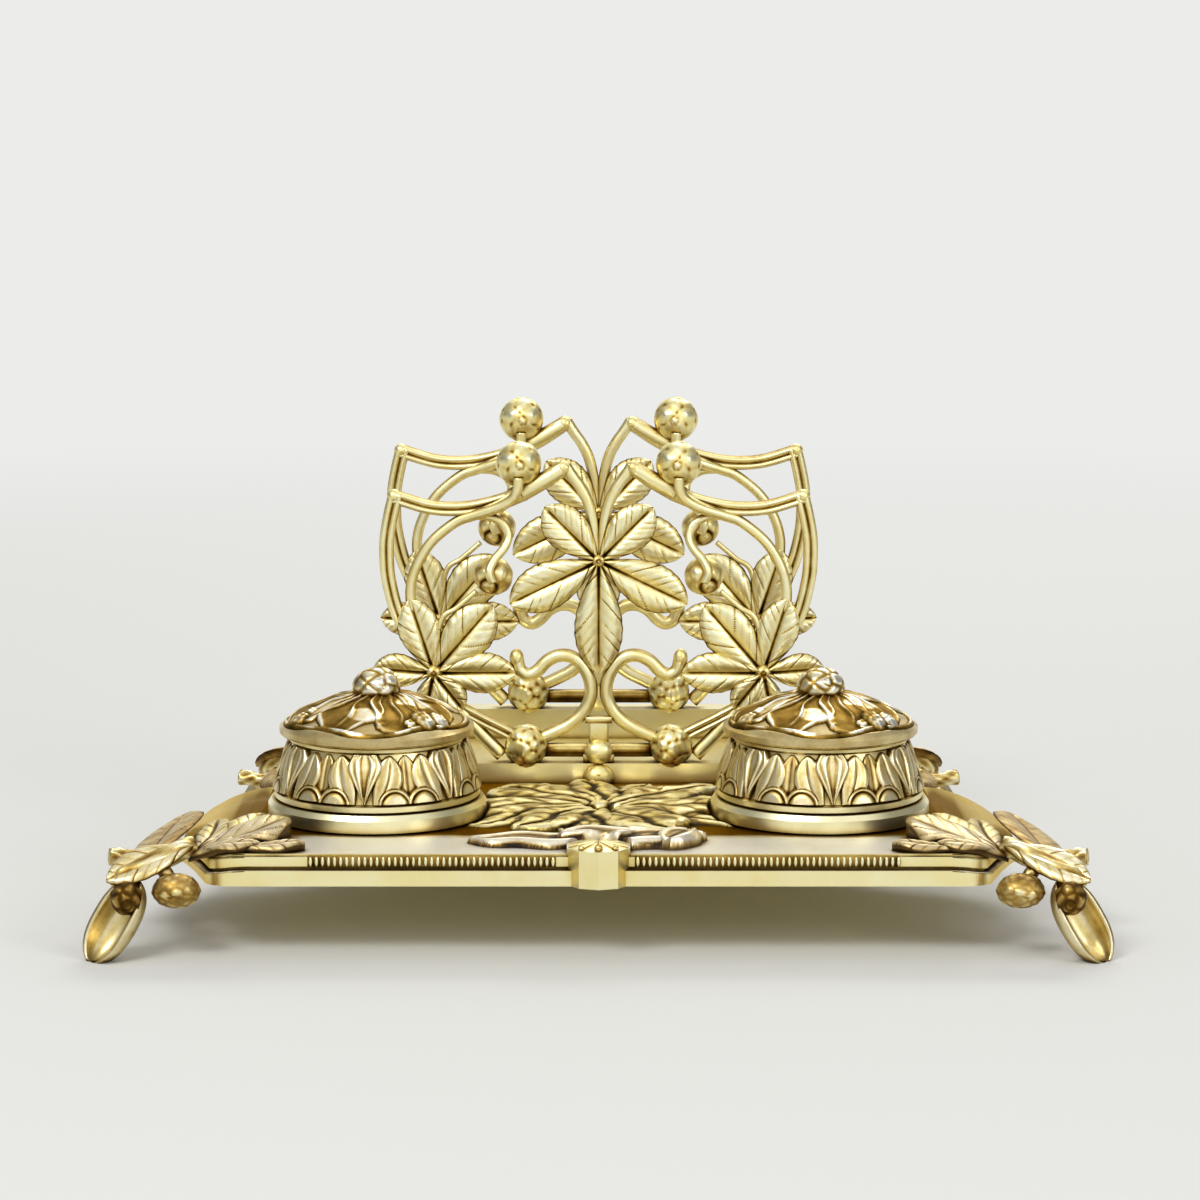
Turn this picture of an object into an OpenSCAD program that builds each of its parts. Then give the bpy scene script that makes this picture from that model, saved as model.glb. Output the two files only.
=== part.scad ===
// Desk inkstand in cast brass: a tray on four chestnut-husk feet, two lidded
// inkwells and a letter rack of two pierced chestnut-leaf plates.
// Millimetres, +X to the right, +Y to the back, +Z up, origin on the table
// under the middle of the tray.

/* [Tray] */
// Length of the straight front edge
front_w = 262; // [240:1:290]
// Width across the two rounded ends
tray_w = 293; // [280:1:320]
// Depth from the front edge to the rear edge
tray_d = 190; // [185:1:210]
// Distance from the front edge to the middle of the rounded ends
end_set = 77; // [70:1:84]
// Width of the rear part that carries the letter rack
rear_w = 200; // [176:1:210]
// Height of the flat top above the table
top_z = 34.5; // [31:0.5:45]
// Depth of the tray's edge, from the flat top down
edge_h = 10.5; // [9:0.5:13]
// Height of the plain band at the foot of the edge
band_h = 5.2; // [3:0.1:6]
// Thickness of the cast top and skirt
tray_t = 3; // [2:0.1:4]
// How far the top falls away towards the ends
end_drop = 10; // [4:0.5:11]

/* [Feet] */
// Reach of a foot beyond the tray's corner
foot_reach = 37; // [30:0.5:42]
// Length of the open husk that stands on the table
husk_l = 30; // [27:0.5:34]
// Width of the husk
husk_w = 16; // [12:0.5:17]
// Diameter of the cast stud that holds a foot to the tray
stud_d = 4; // [3:0.5:5]

/* [Inkwells] */
// Distance between the two wells
well_gap = 153.5; // [150:0.5:160]
// Distance of the wells from the front edge
well_set = 68; // [66:0.5:72]
// Diameter of the turned seat ring
ring_d = 75.6; // [74:0.1:78]
// Height of the seat ring
ring_h = 6.5; // [5:0.1:9]
// Diameter of the body at its foot
body_d = 71; // [66:0.5:73]
// Diameter of the body at its neck
neck_d = 59; // [57:0.5:62]
// Height of the body
body_h = 22; // [20:0.2:27]
// Wall of the body
body_t = 2.4; // [1.8:0.1:3]
// Outer diameter of the glass liner
liner_d = 47; // [42:0.5:50]
// Wall of the glass liner
glass_t = 2.2; // [1.5:0.1:3]

/* [Lids] */
// Diameter of the lid
lid_d = 67.2; // [64:0.1:70]
// Height of the lid's plain rim
rim_h = 3.2; // [2.4:0.1:4]
// Rise of the dome above the rim
dome_h = 11; // [8:0.5:14]
// Thickness of the lid
lid_t = 2; // [1.5:0.1:2.5]
// Diameter of the burr knob
knob_d = 15; // [12:0.5:16]
// Width of the hinge
hinge_w = 22; // [16:1:26]
// Diameter of the hinge knuckles
knuckle_d = 4.4; // [3.6:0.1:5]
// Diameter of the hinge pin
pin_d = 2; // [1.6:0.1:2.4]

/* [Letter rack] */
// Width of the rack's base
rack_w = 152; // [140:1:160]
// Distance of the rack's base from the front edge of the tray
rack_set = 122; // [118:0.5:124]
// Distance between the front and the back plate
rack_gap = 50; // [40:0.5:54]
// Height of the base under the front plate
base_h = 7; // [5:0.5:10]
// Height of the step under the back plate
step_h = 11; // [6:0.5:15]
// Depth of the step that carries the back plate
step_d = 11; // [10:0.5:13]
// Thickness of the plates' bars
bar_t = 4; // [3:0.2:5]
// Diameter of the upper burrs
burr_d = 17.2; // [15:0.2:19]

/* [Hidden] */

$fn = 48;
far = 400;              // longer than anything that is cut
eps = 0.05;             // overlap of cutting tools
seat_gap = 0.2;         // air between the closed lid and the body
run_gap = 0.05;         // radial clearance of pins, studs and screws

front_y = -tray_d / 2;
edge_z = top_z - edge_h;
brass = "#c9a24a";
pale_brass = "#e6cf86";
dark_brass = "#8a6a2c";

// ---- shared shapes -------------------------------------------------------

module both_sides() { children(); mirror([1, 0, 0]) children(); }

// A point of a Catmull-Rom curve through b and c, at the fraction t from b to c
function bend(a, b, c, d, t) =
    0.5 * (2 * b + (c - a) * t + (2 * a - 5 * b + 4 * c - d) * t * t
           + (3 * b - a - 3 * c + d) * t * t * t);

// The curve through all points of path, with k steps between two of them
function smooth(path, k) = let (n = len(path) - 1) concat(
    [for (i = [0:n - 1], s = [0:k - 1])
        bend(path[max(i - 1, 0)], path[i], path[i + 1], path[min(i + 2, n)], s / k)],
    [path[n]]);

function unit(v) = v / norm(v);
function ahead(path, i) = let (d = path[min(i + 1, len(path) - 1)] - path[max(i - 1, 0)])
    unit([d.x, d.y]);

// Side walls of a skin of m rings with k points each, and its two end caps
function skin_faces(m, k) = concat(
    [for (i = [0:m - 2], j = [0:k - 1]) let (n = (j + 1) % k)
        [i * k + j, i * k + n, (i + 1) * k + n, (i + 1) * k + j]],
    [[for (j = [k - 1:-1:0]) j]], [[for (j = [0:k - 1]) (m - 1) * k + j]]);

// A bar of the given section [across, out of the sheet] carried along a path in the
// sheet's plane; grow scales the section's width from its first to its last end
module bar(path, section, grow = 1) {
    m = len(path);
    k = len(section);
    points = [for (i = [0:m - 1]) let (d = ahead(path, i), g = 1 + (grow - 1) * i / (m - 1))
        for (s = section) [path[i].x - d.y * s.x * g, path[i].y + d.x * s.x * g,
                           (len(path[i]) > 2 ? path[i].z : 0) + s.y]];
    polyhedron(points, skin_faces(m, k));
}

function round_section(r, sides) = [for (j = [0:sides - 1])
    let (a = -360 * (j + 0.5) / sides) [r * cos(a), r * sin(a)]];

// Flat bar with a groove along its face
function grooved_section(w, t) = [[-w / 2, -t / 2], [-w / 2, t / 3], [-w / 4, t / 2],
    [0, t / 5], [w / 4, t / 2], [w / 2, t / 3], [w / 2, -t / 2]];

module stick(a, b, d) {
    hull() {
        translate(a) sphere(d = d, $fn = 6);
        translate(b) sphere(d = d, $fn = 6);
    }
}

// ---- chestnut leaves -----------------------------------------------------

leaf_steps = 5;
leaf_across = [-1, -0.55, 0, 0.55, 1];   // share of the half width
leaf_high = [0.2, 1, 0.5, 1, 0.2];       // share of the height: a swelling each side of the midrib
leaf_min = 0.5;                          // half width at stalk and tip

// Half width of a leaflet, 0 to 1, at the fraction t of its length: broadest past the middle
function leaf_half(t) = pow(sin(180 * pow(t, 1.4)), 0.62);

// Fall of the tray's top and of its lower edge at x
drop_x = well_gap / 2 + ring_d / 2 + 2.2;
sag_x = drop_x + 9;
end_sag = end_drop * 0.7;
function fall(x, start, depth) = abs(x) < start ? 0
    : depth * pow((abs(x) - start) / (tray_w / 2 - start), 2);
function drop_at(x) = fall(x, drop_x, end_drop);

// Point of a leaflet: s along it, a across it, h over its sheet. The sheet sinks with the
// tray's top, where x = 0 lies at drape on the tray
function leaf_point(at, angle, s, a, h, drape) =
    let (x = at.x + s * cos(angle) - a * sin(angle), y = at.y + s * sin(angle) + a * cos(angle))
    [x, y, h - drop_at(x + drape)];

// One leaflet lying on the plane z = 0, with its stalk at the point at
module leaflet(at, angle, length, width, thick, drape = 0) {
    points = [for (i = [0:leaf_steps]) let (t = i / leaf_steps,
            half = max(leaf_min, leaf_half(t) * width / 2), high = thick * (0.4 + 0.6 * sin(180 * t)))
        each [leaf_point(at, angle, t * length, -half, 0, drape),
            for (j = [0:4]) leaf_point(at, angle, t * length, leaf_across[j] * half,
                                       leaf_high[j] * high, drape),
            leaf_point(at, angle, t * length, half, 0, drape)]];
    polyhedron(points, skin_faces(leaf_steps + 1, 7));
}

// ---- tray ----------------------------------------------------------------

corner_r = 10;
end_r = 40;
rear_r = 12;
inner_r = 15;            // concave corner between the ends and the rear part
strip_h = 3.2;           // height of the ribbed strip between band and top
lip_h = 0.9;
groove_in = 2.8;
strip_in = 1.5;
lip_in = 2.4;

corner_mid = [front_w / 2 - corner_r, front_y + corner_r];
end_mid = [tray_w / 2 - end_r, front_y + end_set];
side_run = end_mid - corner_mid;
side_lean = (corner_r - end_r) / norm(side_run);
// Direction square to the straight side, which touches the corner's and the end's circle
side_out = unit(side_lean * side_run + sqrt(1 - side_lean * side_lean) * [side_run.y, -side_run.x]);

module block(w, y0, y1, r) {
    translate([0, (y0 + y1) / 2]) offset(r) square([w - 2 * r, y1 - y0 - 2 * r], center = true);
}

module tray_outline(inset = 0) {
    offset(delta = -inset) offset(-inner_r) offset(inner_r) {
        block(front_w, front_y, end_mid.y, corner_r);
        block(tray_w, end_mid.y - end_r, end_mid.y + end_r + 1, end_r);
        both_sides() polygon([[0, corner_mid.y], corner_mid, corner_mid + corner_r * side_out,
            end_mid + end_r * side_out, end_mid, [0, end_mid.y]]);
        block(rear_w, end_mid.y, front_y + tray_d, rear_r);
    }
}

drop_steps = 6;
drop_xs = [for (i = [0:drop_steps]) drop_x + (tray_w / 2 - drop_x) * i / drop_steps];
drop_line = concat([for (i = [drop_steps:-1:0]) -drop_xs[i]], drop_xs);

// The tray's top lowered by down, and its lower edge raised by up, along the tray
function below_top(down) = [for (x = drop_line) [x, top_z - down - drop_at(x)]];
function above_edge(up) = [for (x = drop_line) [x, edge_z + up - fall(x, sag_x, end_sag)]];

// The part of the inset outline that lies between two such lines
module layer(inset, low, high) {
    intersection() {
        translate([0, 0, -far / 2]) linear_extrude(far) tray_outline(inset);
        translate([0, far / 2, 0]) rotate([90, 0, 0]) linear_extrude(far)
            polygon(concat(high, [for (i = [len(low) - 1:-1:0]) low[i]]));
    }
}

module tray_blank() {
    layer(0, above_edge(0), below_top(edge_h - band_h));
    layer(groove_in, above_edge(0.3), below_top(0.3));
    layer(strip_in, below_top(lip_h + strip_h), below_top(lip_h));
    layer(lip_in, below_top(lip_h + 0.2), below_top(0));
}

boss_w = 22;
boss_out = 5.5;
boss_rise = 2;
boss_sides = 10;

// Ten-sided boss on the middle of the front edge
module front_boss() {
    translate([0, front_y + boss_w / 2 - boss_out, edge_z])
        rotate(180 / boss_sides) cylinder(d = boss_w, h = edge_h + boss_rise, $fn = boss_sides);
}

screw_d = 3.4;
head_d = 7;
head_h = 2.4;
nut_w = 7.5;
nut_h = 3;

well_x = well_gap / 2;
well_y = front_y + well_set;
front_studs = [[-24, 13], [-13, 24]];    // studs, from the tray's corner inwards
rear_studs = [[-14, 11], [-9.8, 18]];
stud_l = tray_t + nut_h + 1;

module at_wells() { both_sides() translate([well_x, well_y, 0]) children(); }

module tray() {
    color(brass) difference() {
        union() {
            tray_blank();
            front_boss();
        }
        layer(groove_in + tray_t, below_top(far / 8), below_top(tray_t));
        at_wells() translate([0, 0, edge_z]) cylinder(d = screw_d + 2 * run_gap, h = far);
        at_studs() translate([0, 0, edge_z]) cylinder(d = stud_d + 2 * run_gap, h = far);
        at_base_screws() translate([0, 0, edge_z]) cylinder(d = screw_d + 2 * run_gap, h = far);
    }
}

tray_leaf_at = [0, 79];            // stalk of the leaf, from the middle of the front edge
tray_leaf_t = 2.9;
// Leaflets of the palmate leaf: direction, length, width
tray_leaflets = [[90, 36, 17], [270, 34, 15], [40, 41, 18], [140, 41, 18], [-4, 38, 17],
                 [184, 38, 17], [-44, 42, 19], [224, 42, 19]];
// Folded leaves before it: stalk, direction, length, width
fold_leaflets = [[[-9, 19], 8, 37, 15], [[-5, 13], 152, 36, 12], [[-12, 25], 205, 18, 10]];

// Cast leaf that is soldered onto the tray between the wells
module tray_leaf() {
    color(dark_brass) translate([0, 0, top_z]) difference() {
        union() {
            for (i = [0:len(tray_leaflets) - 1]) let (l = tray_leaflets[i])
                translate([tray_leaf_at.x, front_y + tray_leaf_at.y, -0.14 * i - 0.07]) {
                    leaflet([0, 0], l[0], l[1], l[2], tray_leaf_t);
                    stick([0, 0, tray_leaf_t * 0.42],
                          l[1] * 0.82 * [cos(l[0]), sin(l[0]), 0] + [0, 0, tray_leaf_t * 0.42], 1.3);
                }
            for (i = [0:len(fold_leaflets) - 1]) let (l = fold_leaflets[i])
                translate([l[0].x, front_y + l[0].y, -0.1 - 0.2 * i])
                    leaflet([0, 0], l[1], l[2], l[3], tray_leaf_t + 0.8);
            translate([tray_leaf_at.x, front_y + tray_leaf_at.y, 0.6]) sphere(d = 6, $fn = 10);
        }
        translate([0, 0, -far]) cube(2 * far, center = true);
        translate([0, 0, -top_z]) front_boss();
    }
}

// ---- feet ----------------------------------------------------------------

husk_wall = 1.6;
husk_steps = 6;
husk_top = [20.5, -2, top_z - 7.5]; // upper end of the husk, seen from the tray's corner
husk_tip_y = -6;
husk_turn = 12;                    // the husk's mouth is turned outwards
husk_cut = 2;                      // the husk's tip is cut off flat where it stands
nut_at = [24, -5.6, top_z - 13.1];
nut_d = 11.6;
foot_burr = [8, -2, top_z - 11.5];
foot_burr_d = 11.8;
twig_start = [8, 9, top_z + 0.1];  // cut end of the twig on the tray
twig_end = [25.6, -1.6, top_z - 7.1];
twig_d = 7.4;
stub_root = [24, 36, top_z - 8.5];
stub_end = [34.5, 33, top_z - 7.5];
stub_d = 4;
leaf_t = 3;
leaf_rib = 2;

corner_leaflets = [[192, 36, 17], [170, 31, 16], [148, 24, 13], [222, 20, 11]];
leaf_back = 70;                    // length of the leaf that hangs over the tray's end
leaf_front = [31, 13];             // length and width of the leaf in front of the twig

module at_studs() {
    both_sides() {
        for (p = front_studs) translate([front_w / 2 + p.x, front_y + p.y, 0]) children();
        for (p = rear_studs) translate([rear_w / 2 + p.x, -front_y - p.y, 0]) children();
    }
}

// A pointed spindle of the given length and width
module spindle(l, w) {
    rotate_extrude($fn = 10) polygon(concat([[0, -l / 2]],
        [for (i = [1:husk_steps - 1]) let (t = i / husk_steps)
            [w / 2 * pow(1 - pow(abs(2 * t - 1), 2.6), 0.6), l * (t - 0.5)]], [[0, l / 2]]));
}

// Open half of a hollow husk, its mouth to the front, from the point top down to the point tip
module husk(top, tip) {
    run = tip - top;
    l = norm(run);
    translate((top + tip) / 2) rotate([-atan2(run.y, -run.z), atan2(run.x, -run.z) * -1, 0])
        rotate([0, 0, husk_turn]) scale([1, 1, l / husk_l]) difference() {
            spindle(husk_l, husk_w);
            translate([0, -husk_wall, 0]) spindle(husk_l - 2 * husk_wall, husk_w - 2 * husk_wall);
            translate([0, -far / 2 - husk_w / 8, 0]) cube(far, center = true);
        }
}

// A leaflet from the point at, along the direction d, its upper face turned to n
module face_leaflet(at, d, n, length, width, thick) {
    x = unit(d);
    y = unit(cross(n, x));
    z = cross(x, y);
    multmatrix([[x.x, y.x, z.x, at.x], [x.y, y.y, z.y, at.y], [x.z, y.z, z.z, at.z]])
        leaflet([0, 0], 0, length, width, thick);
}

// Foot casting at the front right corner. corner_x is the corner's own x, spread scales
// its leaves, and flip is 1 for a casting that is turned over to the rear afterwards
module foot(corner_x, studs, spread, flip) {
    difference() {
        translate([corner_x, front_y, 0]) {
            husk(husk_top, [foot_reach + 0.4, husk_tip_y, -husk_cut]);
            translate(nut_at) sphere(d = nut_d, $fn = 10);
            translate(foot_burr) rotate([0, 8, 0]) scale([1.36, 1.02, 1]) sphere(d = foot_burr_d, $fn = 12);
            stick(twig_start, twig_end, twig_d);
            stick(twig_end, nut_at + [0, 3, 0], twig_d - 1);
            stick(foot_burr + [2, 2, 3], [14, 3, top_z - 3.5], stub_d);
            face_leaflet([4, 10, top_z - 0.7], [27, -12.4, -8.4], [0.28, -0.62, 0.73],
                         leaf_front.x, leaf_front.y, leaf_t);
            stick([stub_root.x, stub_root.y * spread, stub_root.z],
                  [stub_end.x, stub_end.y * spread, stub_end.z], stub_d);
            stick([12, 9, top_z - 2.5], [stub_root.x, stub_root.y * spread, stub_root.z], stub_d);
            stick([-1, 12.6, top_z - 0.5], twig_start, stub_d);
            translate([20, 7, top_z - 6.9]) rotate([0, 24, 0])
                leaflet([0, 0], 97, leaf_back * spread, 22 * spread, leaf_t);
            for (i = [0:3]) let (l = corner_leaflets[i]) translate([1, 12, top_z - 0.1 - 0.13 * i])
                leaflet([0, 0], l[0], l[1] * spread, l[2] * spread, leaf_t, corner_x + 1);
            stick([19.9, 8, top_z - 6.1], [19.9 - 4.9 * spread, 8 + 40 * spread, top_z - 5.5], leaf_rib);
            stick(twig_start, twig_start + [-3, 4, 2], twig_d - 2);
            stick(nut_at, nut_at + [0, 1 - nut_d / 2, 0], leaf_rib);
            for (p = studs) translate([p.x, p.y, top_z - drop_at(corner_x + p.x) - stud_l])
                cylinder(d = stud_d, h = stud_l + 1.4, $fn = 12);
        }
        difference() {
            mirror([0, flip, 0]) tray_blank();
            for (p = studs) translate([corner_x + p.x, front_y + p.y, 0])
                cylinder(d = stud_d, h = far, $fn = 12);
        }
        translate([0, 0, -far]) cube(2 * far, center = true);
    }
}

module foot_front_right() { color(pale_brass) foot(front_w / 2, front_studs, 1, 0); }
module foot_front_left() { mirror([1, 0, 0]) foot_front_right(); }
module foot_rear_right() { color(pale_brass) mirror([0, 1, 0]) foot(rear_w / 2, rear_studs, 0.6, 1); }
module foot_rear_left() { mirror([1, 0, 0]) foot_rear_right(); }

module foot_nuts() {
    color(dark_brass) both_sides() {
        for (p = front_studs) translate([front_w / 2 + p.x, front_y + p.y, 0])
            stud_nut(drop_at(front_w / 2 + p.x + nut_w / 2));
        for (p = rear_studs) translate([rear_w / 2 + p.x, -front_y - p.y, 0]) stud_nut(0);
    }
}

module stud_nut(down) {
    translate([0, 0, top_z - tray_t - nut_h - down]) difference() {
        cylinder(d = nut_w, h = nut_h, $fn = 6);
        translate([0, 0, -eps]) cylinder(d = stud_d + 2 * run_gap, h = far);
    }
}

// ---- inkwells ------------------------------------------------------------

body_z = top_z + ring_h;
neck_z = body_z + body_h;
floor_t = 2.4;
spigot_d = 40;           // boss under the body that drops into the seat ring
flange_w = 2.6;          // ledge under the liner's lip
lip_t = 1.6;             // thickness of the liner's lip
lip_w = 2.2;
mouth_d = liner_d + 2 * lip_w + 0.8;

module ring() {
    translate([0, 0, top_z]) rotate_extrude() polygon([
        [spigot_d / 2 + 0.8, 0], [ring_d / 2 - 0.6, 0], [ring_d / 2, 0.6],
        [ring_d / 2, ring_h - 1.8], [ring_d / 2 - 1.2, ring_h], [spigot_d / 2 + 0.8, ring_h]]);
}

module ring_right() { color(pale_brass) translate([well_x, well_y, 0]) ring(); }
module ring_left() { mirror([1, 0, 0]) ring_right(); }

pad_w = hinge_w + 2;
pad_z = body_z + 8.5;
taper = (body_d / 2 - 1.2 - neck_d / 2) / (body_h - 5.8);
// Flat face at the back of the body that takes the hinge, clear of the taper below it
pad_y = body_d / 2 - 1.1 - taper * (pad_z + 1 - body_z - 3.4);
axis_y = lid_d / 2 + 0.8 + knuckle_d / 2;
axis_z = neck_z + seat_gap + rim_h / 2 + 0.2;
bracket_t = 1.6;
rivet_x = hinge_w / 2 - 4.5;
rivet_z = pad_z + 5;
rivet_d = 2.2;

// Body: tapered shell with a scalloped foot, a ledge for the liner and a pad for the hinge
module well_body() {
    difference() {
        union() {
            translate([0, 0, body_z]) rotate_extrude() polygon([
                [0, 0], [body_d / 2 - 0.8, 0], [body_d / 2, 0.8], [body_d / 2, 2.6],
                [body_d / 2 - 1.2, 3.4], [neck_d / 2, body_h - 2.4], [neck_d / 2 + 0.8, body_h - 1.6],
                [neck_d / 2 + 0.8, body_h - 0.6], [neck_d / 2, body_h], [0, body_h]]);
            translate([0, 0, top_z + 0.4]) cylinder(d = spigot_d, h = ring_h);
            translate([-pad_w / 2, 0, pad_z]) cube([pad_w, pad_y, neck_z - 2.6 - pad_z]);
        }
        translate([0, 0, body_z + floor_t]) rotate_extrude() polygon([
            [0, 0], [body_d / 2 - body_t - 1.6, 0],
            [liner_d / 2 + 1.4, body_h - floor_t - 4.4], [0, body_h - floor_t - 4.4]]);
        translate([0, 0, body_z]) cylinder(d = liner_d + 0.8, h = far);
        translate([0, 0, neck_z - lip_t - 0.2]) cylinder(d = mouth_d, h = far);
        cylinder(d = screw_d + 2 * run_gap, h = body_z + floor_t - 1.5);
        translate([0, 0, body_z]) cylinder(d = liner_d + 0.8, h = 0.01);
        for (s = [-1, 1]) translate([s * rivet_x, pad_y + eps, rivet_z]) rotate([90, 0, 0])
            cylinder(d = rivet_d + 2 * run_gap, h = 4 + eps);
    }
    translate([0, 0, body_z]) difference() {
        union() {
            cylinder(d = liner_d + 1.6, h = floor_t);
            translate([0, 0, -1]) cylinder(d = spigot_d - 2, h = 2);
        }
        translate([0, 0, -1 - eps]) cylinder(d = screw_d + 2 * run_gap, h = floor_t - 0.5 + eps);
    }
}

module body_right() { color(brass) translate([well_x, well_y, 0]) well_body(); }
module body_left() { mirror([1, 0, 0]) body_right(); }

module well_screws() {
    color(dark_brass) at_wells() {
        translate([0, 0, top_z - tray_t - head_h]) cylinder(d = head_d, h = head_h);
        translate([0, 0, top_z - tray_t - eps])
            cylinder(d = screw_d, h = tray_t + ring_h + floor_t - 1.8);
    }
}

// Glass liner that hangs by its lip on the body's ledge
module liner() {
    low = body_z + floor_t + 0.3;
    difference() {
        union() {
            translate([0, 0, low]) cylinder(d = liner_d, h = neck_z - 0.2 - low);
            translate([0, 0, neck_z - 0.2 - lip_t]) cylinder(d = liner_d + 2 * lip_w, h = lip_t);
        }
        translate([0, 0, low + glass_t]) rotate_extrude() polygon([
            [0, 0], [liner_d / 2 - glass_t - 3, 0], [liner_d / 2 - glass_t, 3],
            [liner_d / 2 - glass_t, far], [0, far]]);
    }
}

module liner_right() { color("#bcd3cc") translate([well_x, well_y, 0]) liner(); }
module liner_left() { mirror([1, 0, 0]) liner_right(); }

// ---- lids ----------------------------------------------------------------

lid_z = neck_z + seat_gap;
dome_shape = [[1, 0], [0.95, 0.125], [0.74, 0.42], [0.45, 0.75], [0.19, 0.94], [0, 1]];
function dome_line(r, h, z) = [for (p = dome_shape) [r * p[0], z + h * p[1]]];

module lid() {
    crown = lid_d / 2 - 0.8;
    difference() {
        translate([0, 0, lid_z]) rotate_extrude() polygon(concat(
            [[0, 0], [lid_d / 2 - 0.7, 0], [lid_d / 2, 0.7], [lid_d / 2, rim_h - 0.6],
             [crown, rim_h]], dome_line(crown, dome_h, rim_h)));
        translate([0, 0, lid_z]) rotate_extrude() polygon(concat(
            [[0, -1], [crown - 2 * lid_t, -1]],
            dome_line(crown - 2 * lid_t, dome_h - lid_t, rim_h)));
        translate([0, 0, lid_z + rim_h]) cylinder(d = screw_d + 2 * run_gap, h = far);
        translate([-knuckle_w / 2 - 0.3, lid_d / 2 - tab_in - 0.2, lid_z - 1])
            cube([knuckle_w + 0.6, far, rim_h + 1 - 0.3]);
    }
}

module lid_right() { color(brass) translate([well_x, well_y, 0]) lid(); }
module lid_left() { mirror([1, 0, 0]) lid_right(); }

knob_z = lid_z + rim_h + dome_h;
knob_sunk = knob_d * 0.36;

// Burr knob with a threaded tail through the lid
module knob() {
    translate([0, 0, knob_z - 0.2]) difference() {
        scale([1, 1, 0.8]) translate([0, 0, knob_d / 2 - knob_sunk]) sphere(d = knob_d);
        translate([0, 0, -far]) cylinder(d = far, h = far);
    }
    translate([0, 0, knob_z - lid_t - 2.4]) cylinder(d = screw_d, h = lid_t + 4);
    translate([0, 0, knob_z - lid_t - 2.6]) cylinder(d = nut_w, h = 2.2, $fn = 6);
}

module lid_knob_right() { color(pale_brass) translate([well_x, well_y, 0]) knob(); }
module lid_knob_left() { mirror([1, 0, 0]) lid_knob_right(); }

knuckle_w = hinge_w / 2.6;
tab_in = 4;              // how far the knuckle's tab reaches under the lid

// Middle knuckle with its tab, let into the lid's rim from below
module lid_knuckle() {
    difference() {
        union() {
            translate([-knuckle_w / 2, axis_y, axis_z]) rotate([0, 90, 0])
                cylinder(d = knuckle_d, h = knuckle_w);
            translate([-knuckle_w / 2, lid_d / 2 - tab_in, lid_z])
                cube([knuckle_w, axis_y - lid_d / 2 + tab_in, rim_h - 0.5]);
        }
        translate([-far / 2, axis_y, axis_z]) rotate([0, 90, 0])
            cylinder(d = pin_d + 2 * run_gap, h = far);
    }
}

module lid_knuckle_right() { color(pale_brass) translate([well_x, well_y, 0]) lid_knuckle(); }
module lid_knuckle_left() { mirror([1, 0, 0]) lid_knuckle_right(); }

// Bracket riveted to the body's pad, with the two outer knuckles
module hinge_bracket() {
    side_w = (hinge_w - knuckle_w) / 2 - 0.3;
    difference() {
        union() {
            translate([-hinge_w / 2, pad_y, pad_z + 1])
                cube([hinge_w, bracket_t, lid_z - 1.2 - pad_z - 1]);
            for (s = [-1, 1]) translate([s * (hinge_w - side_w) / 2 - side_w / 2, 0, 0]) {
                translate([0, axis_y, axis_z]) rotate([0, 90, 0])
                    cylinder(d = knuckle_d, h = side_w);
                translate([0, axis_y - knuckle_d / 2, lid_z - 1.2 - bracket_t])
                    cube([side_w, bracket_t, axis_z - lid_z + 1.2 + bracket_t]);
                translate([0, pad_y, lid_z - 1.2 - bracket_t])
                    cube([side_w, axis_y - knuckle_d / 2 + bracket_t - pad_y, bracket_t]);
            }
        }
        translate([-far / 2, axis_y, axis_z]) rotate([0, 90, 0])
            cylinder(d = pin_d + 2 * run_gap, h = far);
        for (s = [-1, 1]) translate([s * rivet_x, far / 2, rivet_z]) rotate([90, 0, 0])
            cylinder(d = rivet_d + 2 * run_gap, h = far);
    }
}

module hinge_bracket_right() { color(brass) translate([well_x, well_y, 0]) hinge_bracket(); }
module hinge_bracket_left() { mirror([1, 0, 0]) hinge_bracket_right(); }

module hinge_pin() {
    translate([-hinge_w / 2 - 0.6, axis_y, axis_z]) rotate([0, 90, 0])
        cylinder(d = pin_d, h = hinge_w + 1.2);
}

module hinge_pin_right() { color(dark_brass) translate([well_x, well_y, 0]) hinge_pin(); }
module hinge_pin_left() { mirror([1, 0, 0]) hinge_pin_right(); }

module hinge_screws() {
    color(dark_brass) at_wells() for (s = [-1, 1])
        translate([s * rivet_x, pad_y + bracket_t, rivet_z]) rotate([90, 0, 0]) {
            cylinder(d = rivet_d, h = 3.6 + bracket_t);
            translate([0, 0, -1]) cylinder(d = rivet_d + 1.8, h = 1);
        }
}

// ---- letter rack ---------------------------------------------------------

rack_y = front_y + rack_set;
base_d = rack_gap + step_d;
base_z = top_z + base_h;
step_z = base_z + step_h;
plate_in = 3.5;          // the plates' middle lies this far behind the face below them
rack_wall = 3;
ball_d = burr_d - 1;
ball_x = 26.2;
ball_up = 5.9;
base_screw_x = rack_w / 2 - 14;
small_head_d = 4.6;

module at_base_screws() {
    both_sides() for (y = [rack_y + 8, rack_y + base_d - 8]) translate([base_screw_x, y, 0])
        children();
}

module base_solid(w, y0, y1, z) { translate([-w / 2, y0, top_z]) cube([w, y1 - y0, z - top_z]); }

module base_blank() {
    base_solid(rack_w, rack_y, rack_y + base_d, base_z);
    base_solid(rack_w, rack_y + rack_gap, rack_y + base_d, step_z);
}

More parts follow.
